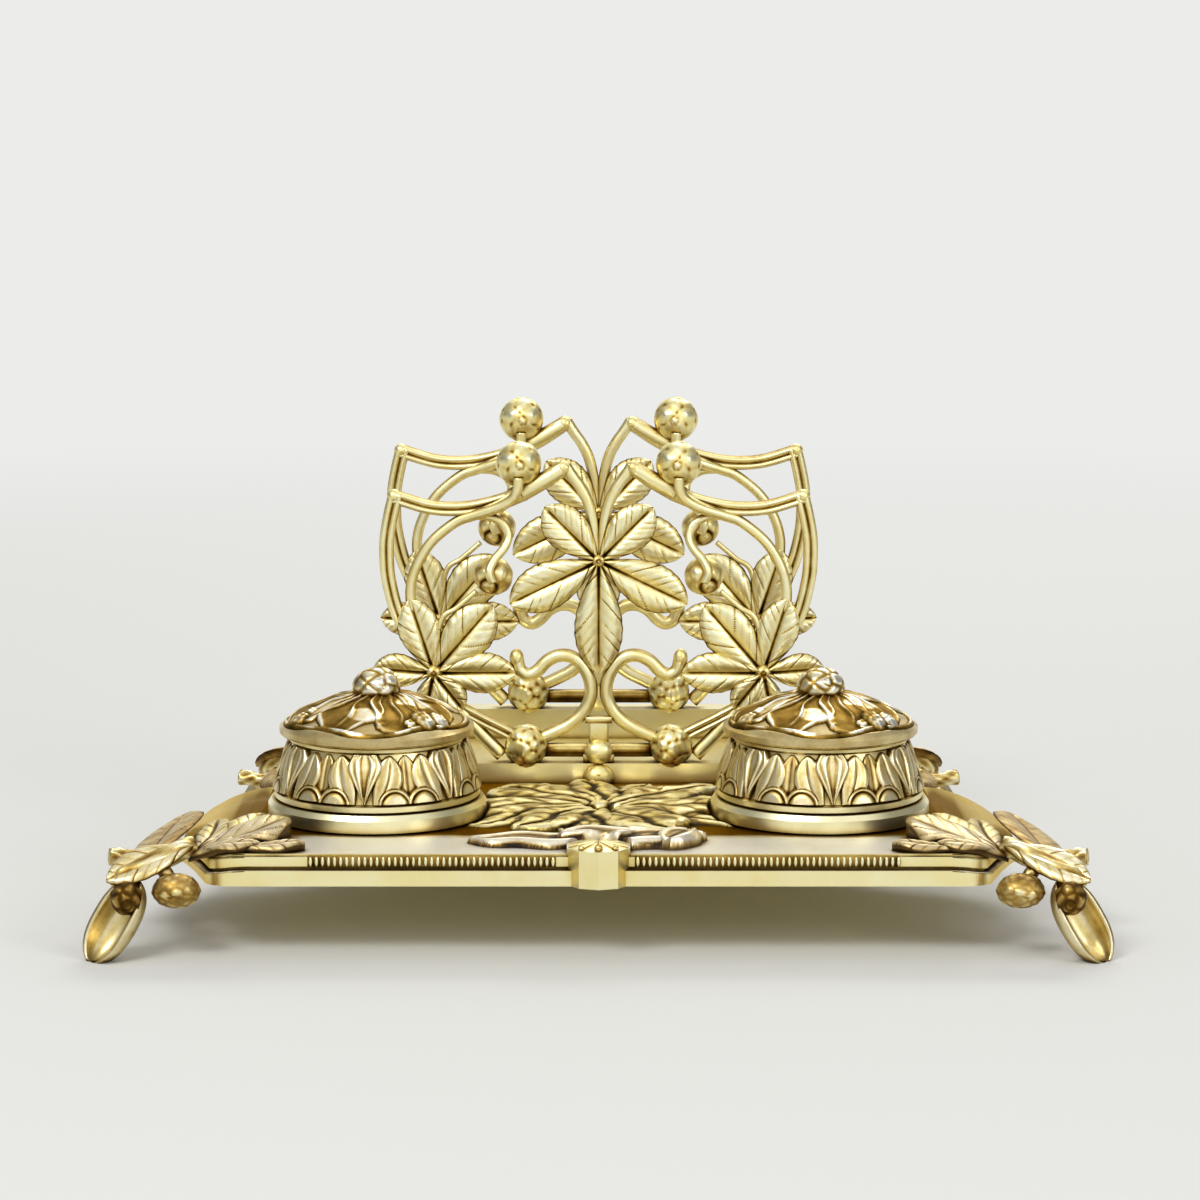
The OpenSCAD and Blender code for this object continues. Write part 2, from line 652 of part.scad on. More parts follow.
module rack_base() {
    color(brass) difference() {
        base_blank();
        difference() {
            translate([0, 0, -eps]) union() {
                base_solid(rack_w - 2 * rack_wall, rack_y + rack_wall, rack_y + base_d - rack_wall,
                           base_z - rack_wall);
                base_solid(rack_w - 2 * rack_wall, rack_y + rack_gap + rack_wall,
                           rack_y + base_d - rack_wall, step_z - rack_wall);
            }
            at_base_screws() translate([0, 0, top_z - 1]) cylinder(d = 8, h = far);
        }
        at_base_screws() translate([0, 0, top_z - 1]) cylinder(d = screw_d + 2 * run_gap, h = 6);
        at_balls() {
            cylinder(d = screw_d + 2 * run_gap, h = far, center = true);
            translate([0, 0, -rack_wall - 9]) cylinder(d = small_head_d + 0.4, h = 9);
        }
    }
}

module rack_base_screws() {
    color(dark_brass) at_base_screws() {
        translate([0, 0, top_z - tray_t - head_h]) cylinder(d = head_d, h = head_h);
        translate([0, 0, top_z - tray_t - eps]) cylinder(d = screw_d, h = tray_t + 4.6);
    }
}

// The places where the lower burrs stand, for the front and the back plate
module at_balls() {
    for (p = [[0, base_z], [rack_gap, step_z]]) both_sides()
        translate([ball_x, rack_y + plate_in + p[0], p[1]]) children();
}

module rack_plate_screws() {
    color(dark_brass) at_balls() {
        translate([0, 0, -rack_wall - head_h + 0.8]) cylinder(d = small_head_d, h = head_h - 0.8);
        translate([0, 0, -rack_wall - eps]) cylinder(d = screw_d, h = rack_wall + 4);
    }
}

rod_sides = 6;
leaf_mid = 73.7;         // height of the middle leaf's stalk over the plate's foot
side_leaf = [59.4, 33];  // stalk of a side leaf
leaf_thick = 3.4;
leaf_lift = 0.17;        // each leaflet lies a little over the one before
plate_top = 107.6;       // height of the two peaks

// Outer frame of one half: peak, dipping top bar, corner
frame_top = [[12, plate_top], [20, 102.8], [28, 98], [37, 94.6], [48.3, 92.4], [60.4, 92.8],
             [74, 96.8]];
frame_side = [[72.6, 98], [74.6, 90], [76, 82], [76.2, 75], [75.6, 67], [73, 56], [68.5, 45]];
peak_rod = [[12, plate_top + 0.6], [9.2, 103.8], [6.4, 99.8], [3.7, 94.3], [2, 87], [1.4, 80],
            [0.4, leaf_mid - 2]];
arc_rod = [[29.4, 103], [30, 98.6], [33.8, 94.6], [41.4, 91], [51.5, 87.4], [59.8, 80.6],
           [65.2, 72.2], [67.6, 64], [67.4, 55]];
curl_rod = [[45, 90, 0], [38.5, 89.3, 0.2], [33.9, 86.6, 0.6], [32.4, 82.4, 1.4], [34, 78.4, 3],
            [37.4, 74.4, 5], [39.2, 70.4, 6.6], [37.8, 66.4, 6.4]];
scroll_rod = [[29.4, 37.6], [28.2, 33.6], [25.1, 32], [21.9, 33.6], [18.6, 37], [14.2, 39],
              [9.4, 38.4], [5.4, 34.8], [3, 29.2], [3, 23.6], [5.8, 18], [10.4, 13.8],
              [15.8, 11], [21, 8.6]];
tail_bar = [[27, 7.6], [34.6, 11.6], [44, 16.4], [51.6, 21.2], [59, 31]];
burr_at = [37.9, 67.9];

middle_leaflets = [[45, 27.5, 16], [-26, 35.5, 17.5]];
side_leaflets = [[72, 28, 15.5], [131, 32.5, 18], [180, 29.5, 15], [4, 22, 12.5], [-78, 14, 9.5],
                 [-128, 17, 11]];

// One half of a plate, drawn flat: x right, y up, z towards the reader
module plate_half() {
    bar(smooth(frame_top, 2), grooved_section(4.4, bar_t), 1);
    bar(frame_side, grooved_section(5, bar_t + 0.36), 0.9);
    bar([[13, plate_top - 1], [22, 101.2], [31, 96.6]], round_section(2.8, rod_sides), 1.5);
    bar(peak_rod, round_section(2.1, rod_sides));
    bar(arc_rod, round_section(1.95, rod_sides));
    bar(curl_rod, round_section(1.65, rod_sides));
    bar(scroll_rod, round_section(2.45, rod_sides));
    bar(tail_bar, grooved_section(4.4, bar_t + 0.22), 0.9);
    translate([28.6, 108.6, 0]) sphere(d = burr_d, $fn = 12);
    translate([ball_x, ball_up, 0]) sphere(d = ball_d, $fn = 10);
    translate([burr_at.x, burr_at.y, -1]) sphere(d = burr_d - 2.4, $fn = 8);
    stick([35, 2.4, -0.4], [45, 13, -0.4], 4.6);
    stick([45, 13, -0.4], [58, 29, -0.4], 4.2);
    stick([44, 62.6, 1], [57, 51.4, 1.4], 1.8);
    stick([57, 51.4, 1.4], [side_leaf.x, side_leaf.y, 1.2], 2.4);
    translate([side_leaf.x, side_leaf.y - 0.6, 0.7]) sphere(d = 8.6, $fn = 10);
    for (i = [0:len(middle_leaflets) - 1]) let (l = middle_leaflets[i])
        translate([0, 0, 0.83 + i * leaf_lift]) leaflet([0, leaf_mid], l[0], l[1], l[2], leaf_thick);
    for (i = [0:len(side_leaflets) - 1]) let (l = side_leaflets[i])
        translate([0, 0, 0.37 + i * leaf_lift]) leaflet(side_leaf, l[0], l[1], l[2], leaf_thick);
}

rail_x = ball_x - 6;
knob_w = 10.4;

// A whole pierced plate with its foot at y = 0
module plate_flat() {
    both_sides() plate_half();
    translate([0, 0, 1]) leaflet([0, leaf_mid], -90, 41, 17.5, leaf_thick);
    translate([0, 0, 1.4]) scale([1, 1, 0.7]) translate([0, leaf_mid, 0]) sphere(d = 5, $fn = 8);
    translate([-rail_x, 2, -bar_t / 2]) cube([2 * rail_x, 4.7, bar_t - 0.6]);
    translate([0, 0, -bar_t / 2]) linear_extrude(bar_t)
        polygon([[-4.2, 3], [4.2, 3], [4.2, 13], [0, 18.6], [-4.2, 13]]);
    for (y = [8, 10.6, 13.2]) translate([-4.6, y - 0.7, -bar_t / 2]) cube([9.2, 1.4, bar_t + 0.8]);
    translate([0, 2.8, 1]) scale([1, 0.85, 1]) sphere(d = knob_w, $fn = 10);
}

module plate_at(y, z) {
    difference() {
        translate([0, y + plate_in, z]) rotate([90, 0, 0]) plate_flat();
        base_blank();
        at_balls() translate([0, 0, -far / 2]) cylinder(d = screw_d + 2 * run_gap, h = far / 2 + 4.2,
                                                        $fn = 16);
    }
}

module rack_plate_front() { color(pale_brass) plate_at(rack_y, base_z); }
module rack_plate_back() { color(brass) plate_at(rack_y + rack_gap, step_z); }

// ---- assembly ------------------------------------------------------------

tray();
tray_leaf();
foot_front_left();
foot_front_right();
foot_rear_left();
foot_rear_right();
foot_nuts();
ring_left();
ring_right();
body_left();
body_right();
well_screws();
liner_left();
liner_right();
lid_left();
lid_right();
lid_knob_left();
lid_knob_right();
lid_knuckle_left();
lid_knuckle_right();
hinge_bracket_left();
hinge_bracket_right();
hinge_pin_left();
hinge_pin_right();
hinge_screws();
rack_base();
rack_plate_front();
rack_plate_back();
rack_plate_screws();
rack_base_screws();
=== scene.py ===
import bpy
import bmesh
import math
import numpy as np
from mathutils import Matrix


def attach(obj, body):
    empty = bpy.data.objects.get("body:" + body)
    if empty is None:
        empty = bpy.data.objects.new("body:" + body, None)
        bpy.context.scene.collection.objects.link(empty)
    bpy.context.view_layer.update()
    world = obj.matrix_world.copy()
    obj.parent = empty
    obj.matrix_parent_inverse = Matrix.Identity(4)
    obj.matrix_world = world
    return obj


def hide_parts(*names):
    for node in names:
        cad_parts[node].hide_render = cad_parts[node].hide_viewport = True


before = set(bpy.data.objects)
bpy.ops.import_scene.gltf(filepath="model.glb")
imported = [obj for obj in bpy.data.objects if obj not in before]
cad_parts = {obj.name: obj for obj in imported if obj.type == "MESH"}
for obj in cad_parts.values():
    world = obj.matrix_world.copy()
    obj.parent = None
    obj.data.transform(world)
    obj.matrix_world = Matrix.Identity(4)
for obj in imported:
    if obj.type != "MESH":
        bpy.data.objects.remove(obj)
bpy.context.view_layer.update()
mm = 0.001
stand = "stand"
lidBodies = {"left": "lid_left", "right": "lid_right"}
sides = {"left": -1, "right": 1}


# Curve through all points (Catmull-Rom), with `per` steps between two of them
def smoothPath(points, per):
    p = np.asarray(points, float)
    p = np.vstack([2 * p[0] - p[1], p, 2 * p[-1] - p[-2]])
    t = np.linspace(0, 1, per, endpoint=False)[:, None]
    spans = [0.5 * (2 * b + (c - a) * t + (2 * a - 5 * b + 4 * c - d) * t ** 2
                    + (3 * b - a - 3 * c + d) * t ** 3)
             for a, b, c, d in zip(p[:-3], p[1:-2], p[2:-1], p[3:])]
    return np.vstack(spans + [p[-2][None]])


# 0 below `a`, 1 above `b`, and 3t^2 - 2t^3 between
def ease(a, b, x):
    t = np.clip((x - a) / (b - a), 0, 1)
    return t * t * (3 - 2 * t)


# Closed skin over m rings of k points, with a point in the middle of each end
def capped(rings, relief):
    m, k = rings.shape[:2]
    i, j = np.meshgrid(np.arange(m - 1), np.arange(k), indexing="ij")
    n = (j + 1) % k
    quads = np.stack([i * k + j, i * k + n, (i + 1) * k + n, (i + 1) * k + j], -1).reshape(-1, 4)
    verts = np.vstack([rings.reshape(-1, 3), rings[0].mean(0), rings[-1].mean(0)])
    a, b = np.arange(k), (np.arange(k) + 1) % k
    tris = np.vstack([np.stack([b, a, np.full(k, m * k)], -1),
                      np.stack([(m - 1) * k + a, (m - 1) * k + b, np.full(k, m * k + 1)], -1)])
    wearAndShade = np.concatenate([relief.reshape(-1), [relief[0].mean(), relief[-1].mean()]])
    return verts, quads, tris, wearAndShade


# Closed skin whose rings also close on each other, as on a torus
def looped(rings, relief):
    m, k = rings.shape[:2]
    i, j = np.meshgrid(np.arange(m), np.arange(k), indexing="ij")
    n, o = (j + 1) % k, (i + 1) % m
    quads = np.stack([i * k + j, i * k + n, o * k + n, o * k + j], -1).reshape(-1, 4)
    return rings.reshape(-1, 3), quads, np.zeros((0, 3), int), relief.reshape(-1)


# The same parts mirrored in x
def mirrored(parts):
    return [(v * [-1, 1, 1], q[:, ::-1], t[:, ::-1], w) for v, q, t, w in parts]


# One smooth-shaded object from closed parts given in millimetres; `relief` sets the tint from 0 in
# the recesses, dark with patina and painted shade, to 1 on what hands and cloth rub bright, in places a
# painted highlight
def pieceFrom(name, parts, material, body=stand, replaces=()):
    verts, quads, tris, relief, start = [], [], [], [], 0
    for v, q, t, w in parts:
        verts.append(v)
        quads.append(q + start)
        tris.append(t + start)
        relief.append(w)
        start += len(v)
    verts, quads, tris = np.vstack(verts) * mm, np.vstack(quads), np.vstack(tris)
    verts[:, 2] = np.maximum(verts[:, 2], 0)
    mesh = bpy.data.meshes.new(name)
    mesh.vertices.add(len(verts))
    mesh.vertices.foreach_set("co", verts.astype(np.float32).ravel())
    mesh.loops.add(quads.size + tris.size)
    corners = np.concatenate([quads.ravel(), tris.ravel()])
    mesh.loops.foreach_set("vertex_index", corners.astype(np.int32))
    mesh.polygons.add(len(quads) + len(tris))
    starts = np.concatenate([np.arange(len(quads)) * 4, quads.size + np.arange(len(tris)) * 3])
    mesh.polygons.foreach_set("loop_start", starts.astype(np.int32))
    mesh.update(calc_edges=True)
    bm = bmesh.new()
    bm.from_mesh(mesh)
    bmesh.ops.recalc_face_normals(bm, faces=bm.faces)
    bm.to_mesh(mesh)
    bm.free()
    mesh.polygons.foreach_set("use_smooth", np.ones(len(mesh.polygons), bool))
    layer = mesh.attributes.new("relief", "FLOAT", "POINT")
    layer.data.foreach_set("value", np.concatenate(relief).astype(np.float32))
    mesh.materials.append(material)
    mesh.update()
    piece = bpy.data.objects.new(name, mesh)
    bpy.context.scene.collection.objects.link(piece)
    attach(piece, body)
    if replaces:
        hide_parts(*replaces)
    print("piece", name, len(verts), "points")
    return piece


# Linear colour of an sRGB hex code: ((c + 0.055) / 1.055) ^ 2.4, or c / 12.92 when dark
def colour(code):
    c = [int(code[i:i + 2], 16) / 255 for i in (1, 3, 5)]
    return [v / 12.92 if v <= 0.04045 else ((v + 0.055) / 1.055) ** 2.4 for v in c] + [1]


# Adds one shader node with its settings and the sockets that feed it. An input is named, or
# numbered as _0; a colour ramp's stops are (place, hex code)
def addNode(tree, kind, settings=(), **inputs):
    made = tree.nodes.new("ShaderNode" + kind)
    settings = dict(settings)
    stops = settings.pop("stops", [])
    for key, value in settings.items():
        setattr(made, key, value)
    while stops and len(made.color_ramp.elements) < len(stops):
        made.color_ramp.elements.new(0.5)
    for index, (place, code) in enumerate(stops):
        made.color_ramp.elements[index].position = place
        made.color_ramp.elements[index].color = colour(code)
    for key, value in inputs.items():
        socket = made.inputs[int(key[1:])] if key[1:].isdigit() else made.inputs[key.replace("_", " ")]
        if isinstance(value, bpy.types.NodeSocket):
            tree.links.new(value, socket)
        else:
            socket.default_value = value
    return made


# New material with an empty node tree
def emptyMaterial(name):
    material = bpy.data.materials.new(name)
    material.use_nodes = True
    material.node_tree.nodes.clear()
    return material, material.node_tree


# Brass with patina. How light a place is tinted, 0 to 1, comes from the piece's relief times
# its openness to ambient occlusion or from openness alone, plus or minus the mottle, which paints shade into
# corners and crevices; tint and roughness follow it.
# Scales are patches per mm. `grazing` tints what is mirrored at a flat angle. Where y runs
# over `ledge`, a pen ledge in front has the pale tints `top`, a painted reflection, and loses as much of its
# metal look as the last setting gives
def brass(name, o):
    material, tree = emptyMaterial(name)
    place = addNode(tree, "TexCoord").outputs["Object"]
    place = addNode(tree, "Mapping", Vector=place, Scale=(1000, 1000, 1000)).outputs[0]
    patches = addNode(tree, "TexNoise", Vector=place, Scale=o["patch"], Detail=4.0, Roughness=0.65).outputs[0]
    grain = addNode(tree, "TexNoise", Vector=place, Scale=o["grain"], Detail=3.0).outputs[0]
    reach = o.get("reach", 4) * mm
    # Ambient occlusion darkens the tint in corners and crevices: painted shade
    openness = addNode(tree, "AmbientOcclusion", {"samples": 6}, Distance=reach).outputs["AO"]
    if o["wearAndShade"] == "relief":
        height = addNode(tree, "Attribute", {"attribute_name": "relief"}).outputs["Fac"]
        openness = addNode(tree, "MapRange", _0=openness, _1=0.25, _2=0.8, _3=0.3, _4=1.0).outputs[0]
        height = addNode(tree, "Math", {"operation": "MULTIPLY"}, _0=height, _1=openness).outputs[0]
    else:
        height = addNode(tree, "MapRange", _0=openness, _1=0.25, _2=0.9, _3=0.0, _4=o["flat"]).outputs[0]
    spread = addNode(tree, "MapRange", _0=patches, _1=0.3, _2=0.7, _3=-o["mottle"], _4=o["mottle"]).outputs[0]
    level = addNode(tree, "Math", {"operation": "ADD", "use_clamp": True}, _0=height, _1=spread).outputs[0]
    tint = addNode(tree, "ValToRGB", {"stops": o["stops"]}, Fac=level).outputs[0]
    cover = 1.0
    grazing = colour(o.get("grazing", "#ffffff"))
    # The pen ledge's pale silvery tint and lowered metal look are a painted reflection
    if "top" in o:
        normal = addNode(tree, "TexCoord").outputs["Normal"]
        up = addNode(tree, "SeparateXYZ", Vector=normal).outputs["Z"]
        up = addNode(tree, "MapRange", _0=up, _1=o["facing"][0], _2=o["facing"][1]).outputs[0]
        depth = addNode(tree, "SeparateXYZ", Vector=place).outputs["Y"]
        ledge = addNode(tree, "MapRange", _0=depth, _1=o["ledge"][1], _2=o["ledge"][0]).outputs[0]
        if o["wearAndShade"] == "relief":
            up, flat = ledge, level
        else:
            # The top is painted lighter on the ledge, as a reflection, and darker behind it
            ledgeSheen = addNode(tree, "Math", {"operation": "MULTIPLY_ADD"}, _0=ledge, _1=0.42, _2=-0.3).outputs[0]
            flat = addNode(tree, "Math", {"operation": "ADD", "use_clamp": True}, _0=level, _1=ledgeSheen).outputs[0]
        flat = addNode(tree, "ValToRGB", {"stops": o["top"]}, Fac=flat).outputs[0]
        tint = addNode(tree, "MixRGB", Fac=up, Color1=tint, Color2=flat).outputs[0]
        cover = addNode(tree, "Math", {"operation": "MULTIPLY"}, _0=ledge, _1=up).outputs[0]
        grazing = addNode(tree, "MixRGB", Fac=cover, Color1=grazing, Color2=(1, 1, 1, 1)).outputs[0]
        ledgeSheen = -o["ledgeSheen"]
        cover = addNode(tree, "Math", {"operation": "MULTIPLY_ADD"}, _0=cover, _1=ledgeSheen, _2=1.0).outputs[0]
    dull, shiny = o["rough"]
    rough = addNode(tree, "MapRange", _0=level, _1=0.1, _2=0.9, _3=dull, _4=shiny).outputs[0]
    rough = addNode(tree, "Math", {"operation": "MULTIPLY_ADD"}, _0=grain, _1=0.12, _2=rough).outputs[0]
    bump = addNode(tree, "Bump", Strength=o["bump"], Distance=0.00015, Height=grain).outputs[0]
    shader = addNode(tree, "BsdfPrincipled", Base_Color=tint, Metallic=cover, Roughness=rough, Normal=bump,
                     Specular_Tint=grazing)
    addNode(tree, "OutputMaterial", Surface=shader.outputs[0])
    return material


# Brass of the rack plates and the boss: a gilt casting, dark in its hollows and corners with patina and
# painted shade, bright where the polishing cloth reaches
castBrass = brass("gilt_cast_brass", dict(
    patch=0.11, grain=1.6, mottle=0.12, wearAndShade="relief", rough=(0.5, 0.27), bump=0.3,
    stops=[(0.0, "#2a1b06"), (0.22, "#6a4c17"), (0.44, "#c09e50"), (0.66, "#f6e7a0"), (1.0, "#fffbd4")]))
# Brass of the feet and the bodies' friezes: the same casting painted browner and darker, as
# painted shade, with a rosy tint on its ridges
footBrass = brass("cast_brass_painted_shade", dict(
    patch=0.13, grain=1.5, mottle=0.16, wearAndShade="relief", rough=(0.5, 0.28), bump=0.3,
    stops=[(0.0, "#281a07"), (0.25, "#6b4d1c"), (0.5, "#b0904c"), (0.72, "#dcc888"), (1.0, "#fbf0cb")]))
# Brass of the lids: brown patina with whitish ridges, from rubbing and painted highlights
patinaBrass = brass("patinated_brass", dict(
    patch=0.14, grain=1.4, mottle=0.14, wearAndShade="relief", rough=(0.42, 0.24), bump=0.3, grazing="#f2e6cc",
    stops=[(0.0, "#241804"), (0.3, "#6b5019"), (0.56, "#9f7f3c"), (0.72, "#dccb98"), (0.9, "#fbf8ea")]))
# Brass of the leaves on the tray: olive in the hollows, with patina and painted shade, yellow on the ridges,
# and silvery like the pen ledge in front, a painted reflection
leafBrass = brass("olive_leaf_brass", dict(
    patch=0.14, grain=1.4, mottle=0.12, wearAndShade="relief", rough=(0.44, 0.26), bump=0.3,
    stops=[(0.0, "#241a06"), (0.3, "#6a5420"), (0.55, "#9f8641"), (0.75, "#dcc984"), (1.0, "#fff4c2")],
    facing=(-1, -0.9), ledgeSheen=0.25, ledge=(-70, -62),
    top=[(0.0, "#1e1407"), (0.3, "#6a5128"), (0.52, "#a2884f"), (0.76, "#d3c093"), (1.0, "#f5ecd6")]))
# Sheet of the lids between the leaves, in the same brown patina, with painted shade in its corners
lidBrass = brass("patinated_lid_brass", dict(
    patch=0.1, grain=1.4, mottle=0.14, wearAndShade="corner", reach=5, flat=0.85, rough=(0.44, 0.26), bump=0.2,
    stops=[(0.0, "#2c1e0a"), (0.35, "#7d6123"), (0.7, "#b0955a"), (1.0, "#e2d29c")]))
# Brass of the turned and sheet parts: evenly polished, with painted shade darkening the corners
turnedBrass = brass("polished_brass", dict(
    patch=0.06, grain=1.2, mottle=0.08, wearAndShade="corner", reach=3.5, flat=0.97, rough=(0.44, 0.26), bump=0.12,
    stops=[(0.0, "#2f210a"), (0.35, "#9a7c33"), (0.7, "#f2dc8e"), (1.0, "#fff8cc")]))
# Brass of the tray: yellow on its edge, with painted shade in its corners; the top brown behind and pale
# silvery on the pen ledge in front, a painted reflection, where y runs over the settings' two values
trayBrass = brass("tray_brass_rub_and_painted_sheen", dict(
    patch=0.045, grain=1.0, mottle=0.1, wearAndShade="corner", reach=6, flat=0.9, rough=(0.42, 0.26), bump=0.12,
    grazing="#dcc18a",
    stops=[(0.0, "#2c1e0a"), (0.4, "#94732a"), (0.7, "#f8e28c"), (1.0, "#fff8c8")],
    facing=(0.62, 0.8), ledgeSheen=0.62, ledge=(-69, -62),
    top=[(0.0, "#2c1e0a"), (0.35, "#62460f"), (0.64, "#7c5a1c"), (0.8, "#e2d8b8"), (1.0, "#f3efe2")]))
# Old dull brass of screws, nuts and pins, with painted shade in the corners
fixingBrass = brass("dull_fixing_brass", dict(
    patch=0.2, grain=2.0, mottle=0.15, wearAndShade="corner", reach=2, flat=0.8, rough=(0.5, 0.35), bump=0.2,
    stops=[(0.0, "#2b1e0a"), (0.6, "#6e5426"), (1.0, "#9c7d42")]))


# Clear pressed glass with a faint green cast
def pressedGlass():
    material, tree = emptyMaterial("pressed_glass")
    place = addNode(tree, "TexCoord").outputs["Object"]
    place = addNode(tree, "Mapping", Vector=place, Scale=(1000, 1000, 1000)).outputs[0]
    waves = addNode(tree, "TexNoise", Vector=place, Scale=0.15, Detail=1.0).outputs[0]
    bump = addNode(tree, "Bump", Strength=0.2, Distance=0.0003, Height=waves).outputs[0]
    stops = [(0.3, "#dfeee8"), (0.7, "#eef6f2")]
    tint = addNode(tree, "ValToRGB", {"stops": stops}, Fac=waves).outputs[0]
    shader = addNode(tree, "BsdfPrincipled", Base_Color=tint, Roughness=0.04, IOR=1.5,
                     Transmission_Weight=1.0, Normal=bump)
    addNode(tree, "OutputMaterial", Surface=shader.outputs[0])
    return material


glass = pressedGlass()
nodeMaterials = {"tray": trayBrass, "rack_base": turnedBrass, "foot_nuts": fixingBrass,
                 "well_screws": fixingBrass, "hinge_screws": fixingBrass,
                 "rack_plate_screws": fixingBrass, "rack_base_screws": fixingBrass}
for nodeName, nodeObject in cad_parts.items():
    family = {"liner": glass, "lid": lidBrass}.get(nodeName.split("_")[0], turnedBrass)
    chosen = nodeMaterials.get(nodeName, family)
    nodeObject.data.materials.clear()
    nodeObject.data.materials.append(chosen)
print("materials done")


# Half width of a leaflet from 0 to 1: sin(pi t^p)^0.62, broadest at 0.5^(1/p)
def leafHalf(t, p=1.4):
    return np.sin(np.pi * np.clip(t, 0, 1) ** p) ** 0.62


# Share of a leaflet's height across it: a half-sunk midrib, a swelling at 0.5 and a low edge
def leafSwell(v):
    a = np.abs(v)
    inner = 0.62 + 0.38 * np.sin(np.pi / 2 * np.clip(a / 0.5, 0, 1)) ** 1.2
    outer = 1 - 0.6 * np.clip((a - 0.5) / 0.5, 0, 1) ** 2.4
    return np.where(a < 0.5, inner, outer)


# Depth of the side veins, which leave the midrib forwards and curve to the tip: with
# q = (s - |a| - 0.02 a^2) / pitch it is exp(-(d / fine)^2), d the way to the nearest
# whole q in millimetres, times 0.55 + 0.45 sin(2.3 q) as some are cut deeper, and the
# swelling between two of them is |sin(pi q)|^0.7
def leafVeins(s, a, pitch, fine=0.2):
    q = (s - np.abs(a) - 0.02 * a * a) / pitch
    d = np.abs(q - np.round(q)) * pitch * 0.7
    strong = 0.55 + 0.45 * np.sin(2.3 * np.round(q) + 1.2 * np.sign(a))
    return strong * np.exp(-(d / fine) ** 2), np.abs(np.sin(np.pi * q)) ** 0.7


leafSettings = dict(rows=80, across=33, pillow=0.08, vein=0.22, rib=0.6, wave=0.012, tip=0.4, back=0.5)


# Closed leaflet over a plane: its top is thick * swell * (0.5 + 0.5 sin(pi t)^0.7) with
# veins, a midrib groove, a bend and a wavy edge; the back is flat. `place` maps (s, a, h), in
# millimetres along, across and above the leaflet's plane, to the model
def leafletPart(length, width, thick, place, veins=10, bend=0.0, shade=1.0):
    o = leafSettings
    t = np.linspace(0, 1, o["rows"])[:, None]
    v = np.linspace(-1, 1, o["across"])[None, :]
    pitch = length / veins
    edge = 1 + o["wave"] * np.sin(2 * np.pi * veins * t + 1.5 * np.sign(v)) * ease(0.3, 0.5, t)
    half = np.maximum(o["tip"], leafHalf(t) * width / 2 * edge)
    s, a = t * length + 0 * v, v * half
    high = thick * leafSwell(v) * (0.5 + 0.5 * np.sin(np.pi * t) ** 0.7)
    fade = ease(0.04, 0.4, np.abs(v)) * ease(1.0, 0.9, np.abs(v)) * ease(0, 0.1, t) * ease(1, 0.9, t)
    grooves, pillows = leafVeins(s, a, pitch)
    rib = np.exp(-(a / 0.42) ** 2) * ease(1.0, 0.85, t)
    high = high + (o["pillow"] * (pillows - 0.6) - o["vein"] * grooves) * fade - o["rib"] * rib
    # Tint darker in the veins and midrib with patina, and at the edge and towards the stalk with painted
    # shade; `shade` scales it
    wearAndShade = np.clip(0.56 + 0.3 * leafSwell(v) + 0.08 * pillows - 0.95 * grooves * fade - 0.8 * rib
                   - 0.6 * ease(0.9, 1.0, np.abs(v)) - 0.45 * ease(0.22, 0.0, t), 0, 1) * shade
    a = a + bend * np.sin(np.pi * t) * width * 0.25
    under = np.linspace(1, -1, 5)[None, 1:-1]
    middle = o["across"] // 2
    rings = np.stack([np.hstack([s, t * length + 0 * under]),
                      np.hstack([a, under * half[:, [-2, middle, 1]] + a[:, [middle]]]),
                      np.hstack([np.maximum(high, 0.12), np.zeros((o["rows"], 3))])], -1)
    return capped(place(rings), np.hstack([wearAndShade, np.full((o["rows"], 3), o["back"])]))


# Maps leaflet coordinates to a plate's own plane: turned by the angle about the stalk
def onPlate(at, angle, lift):
    c, n = math.cos(math.radians(angle)), math.sin(math.radians(angle))
    return lambda p: np.stack([at[0] + c * p[..., 0] - n * p[..., 1],
                               at[1] + n * p[..., 0] + c * p[..., 1], lift + p[..., 2]], -1)


# Section carried along a path in the plate's plane: point + across * normal + out * z.
# `grow` scales the section along the path
def barPart(path, section, grow=(1, 1), wearAndShade=None):
    path = np.asarray(path, float)
    if path.shape[1] == 2:
        path = np.hstack([path, np.zeros((len(path), 1))])
    ahead = np.gradient(path[:, :2], axis=0)
    ahead /= np.linalg.norm(ahead, axis=1)[:, None]
    across = np.stack([-ahead[:, 1], ahead[:, 0], 0 * ahead[:, 0]], -1)
    scale = np.linspace(*grow, len(path))[:, None, None]
    section = np.asarray(section, float)
    rings = path[:, None] + scale * (section[None, :, :1] * across[:, None]
                                     + section[None, :, 1:2] * np.array([0, 0, 1]))
    if wearAndShade is None:
        out = section[:, 1] / np.abs(section[:, 1]).max()
        wearAndShade = 0.36 + 0.46 * np.maximum(out, -0.5 * out)
    return capped(rings, np.clip(np.tile(wearAndShade, (len(path), 1)), 0.05, 1))


# Circle of radius r, with `count` points, the first of them half a step off the x axis
def roundSection(r, count=14):
    a = -2 * np.pi * (np.arange(count) + 0.5) / count
    return np.stack([r * np.cos(a), r * np.sin(a)], -1)


# Two rounded ridges with a groove between them, on a flat back: at u from -1 to 1 the front
# stands t / 2 (0.35 + 0.65 |sin(pi u)|^0.6) out
def doubleRidge(w, t):
    u = np.linspace(-1, 1, 21)
    out = t / 2 * (0.35 + 0.65 * np.abs(np.sin(np.pi * u)) ** 0.6)
    out[0] = out[-1] = 0.1 * t
    top = np.stack([u * w / 2, out], -1)
    return np.vstack([top, [[w / 2, -t / 2], [-w / 2, -t / 2]]])


# Wear over a double ridge: 0.2 in the groove, growing by 0.62 to its crests, 0.55 behind
def ridgeWear(w, t):
    out = doubleRidge(w, t)[:, 1] / (t / 2)
    return np.where(out < 0, 0.55, np.clip(0.2 + 0.62 * out, 0.08, 1))


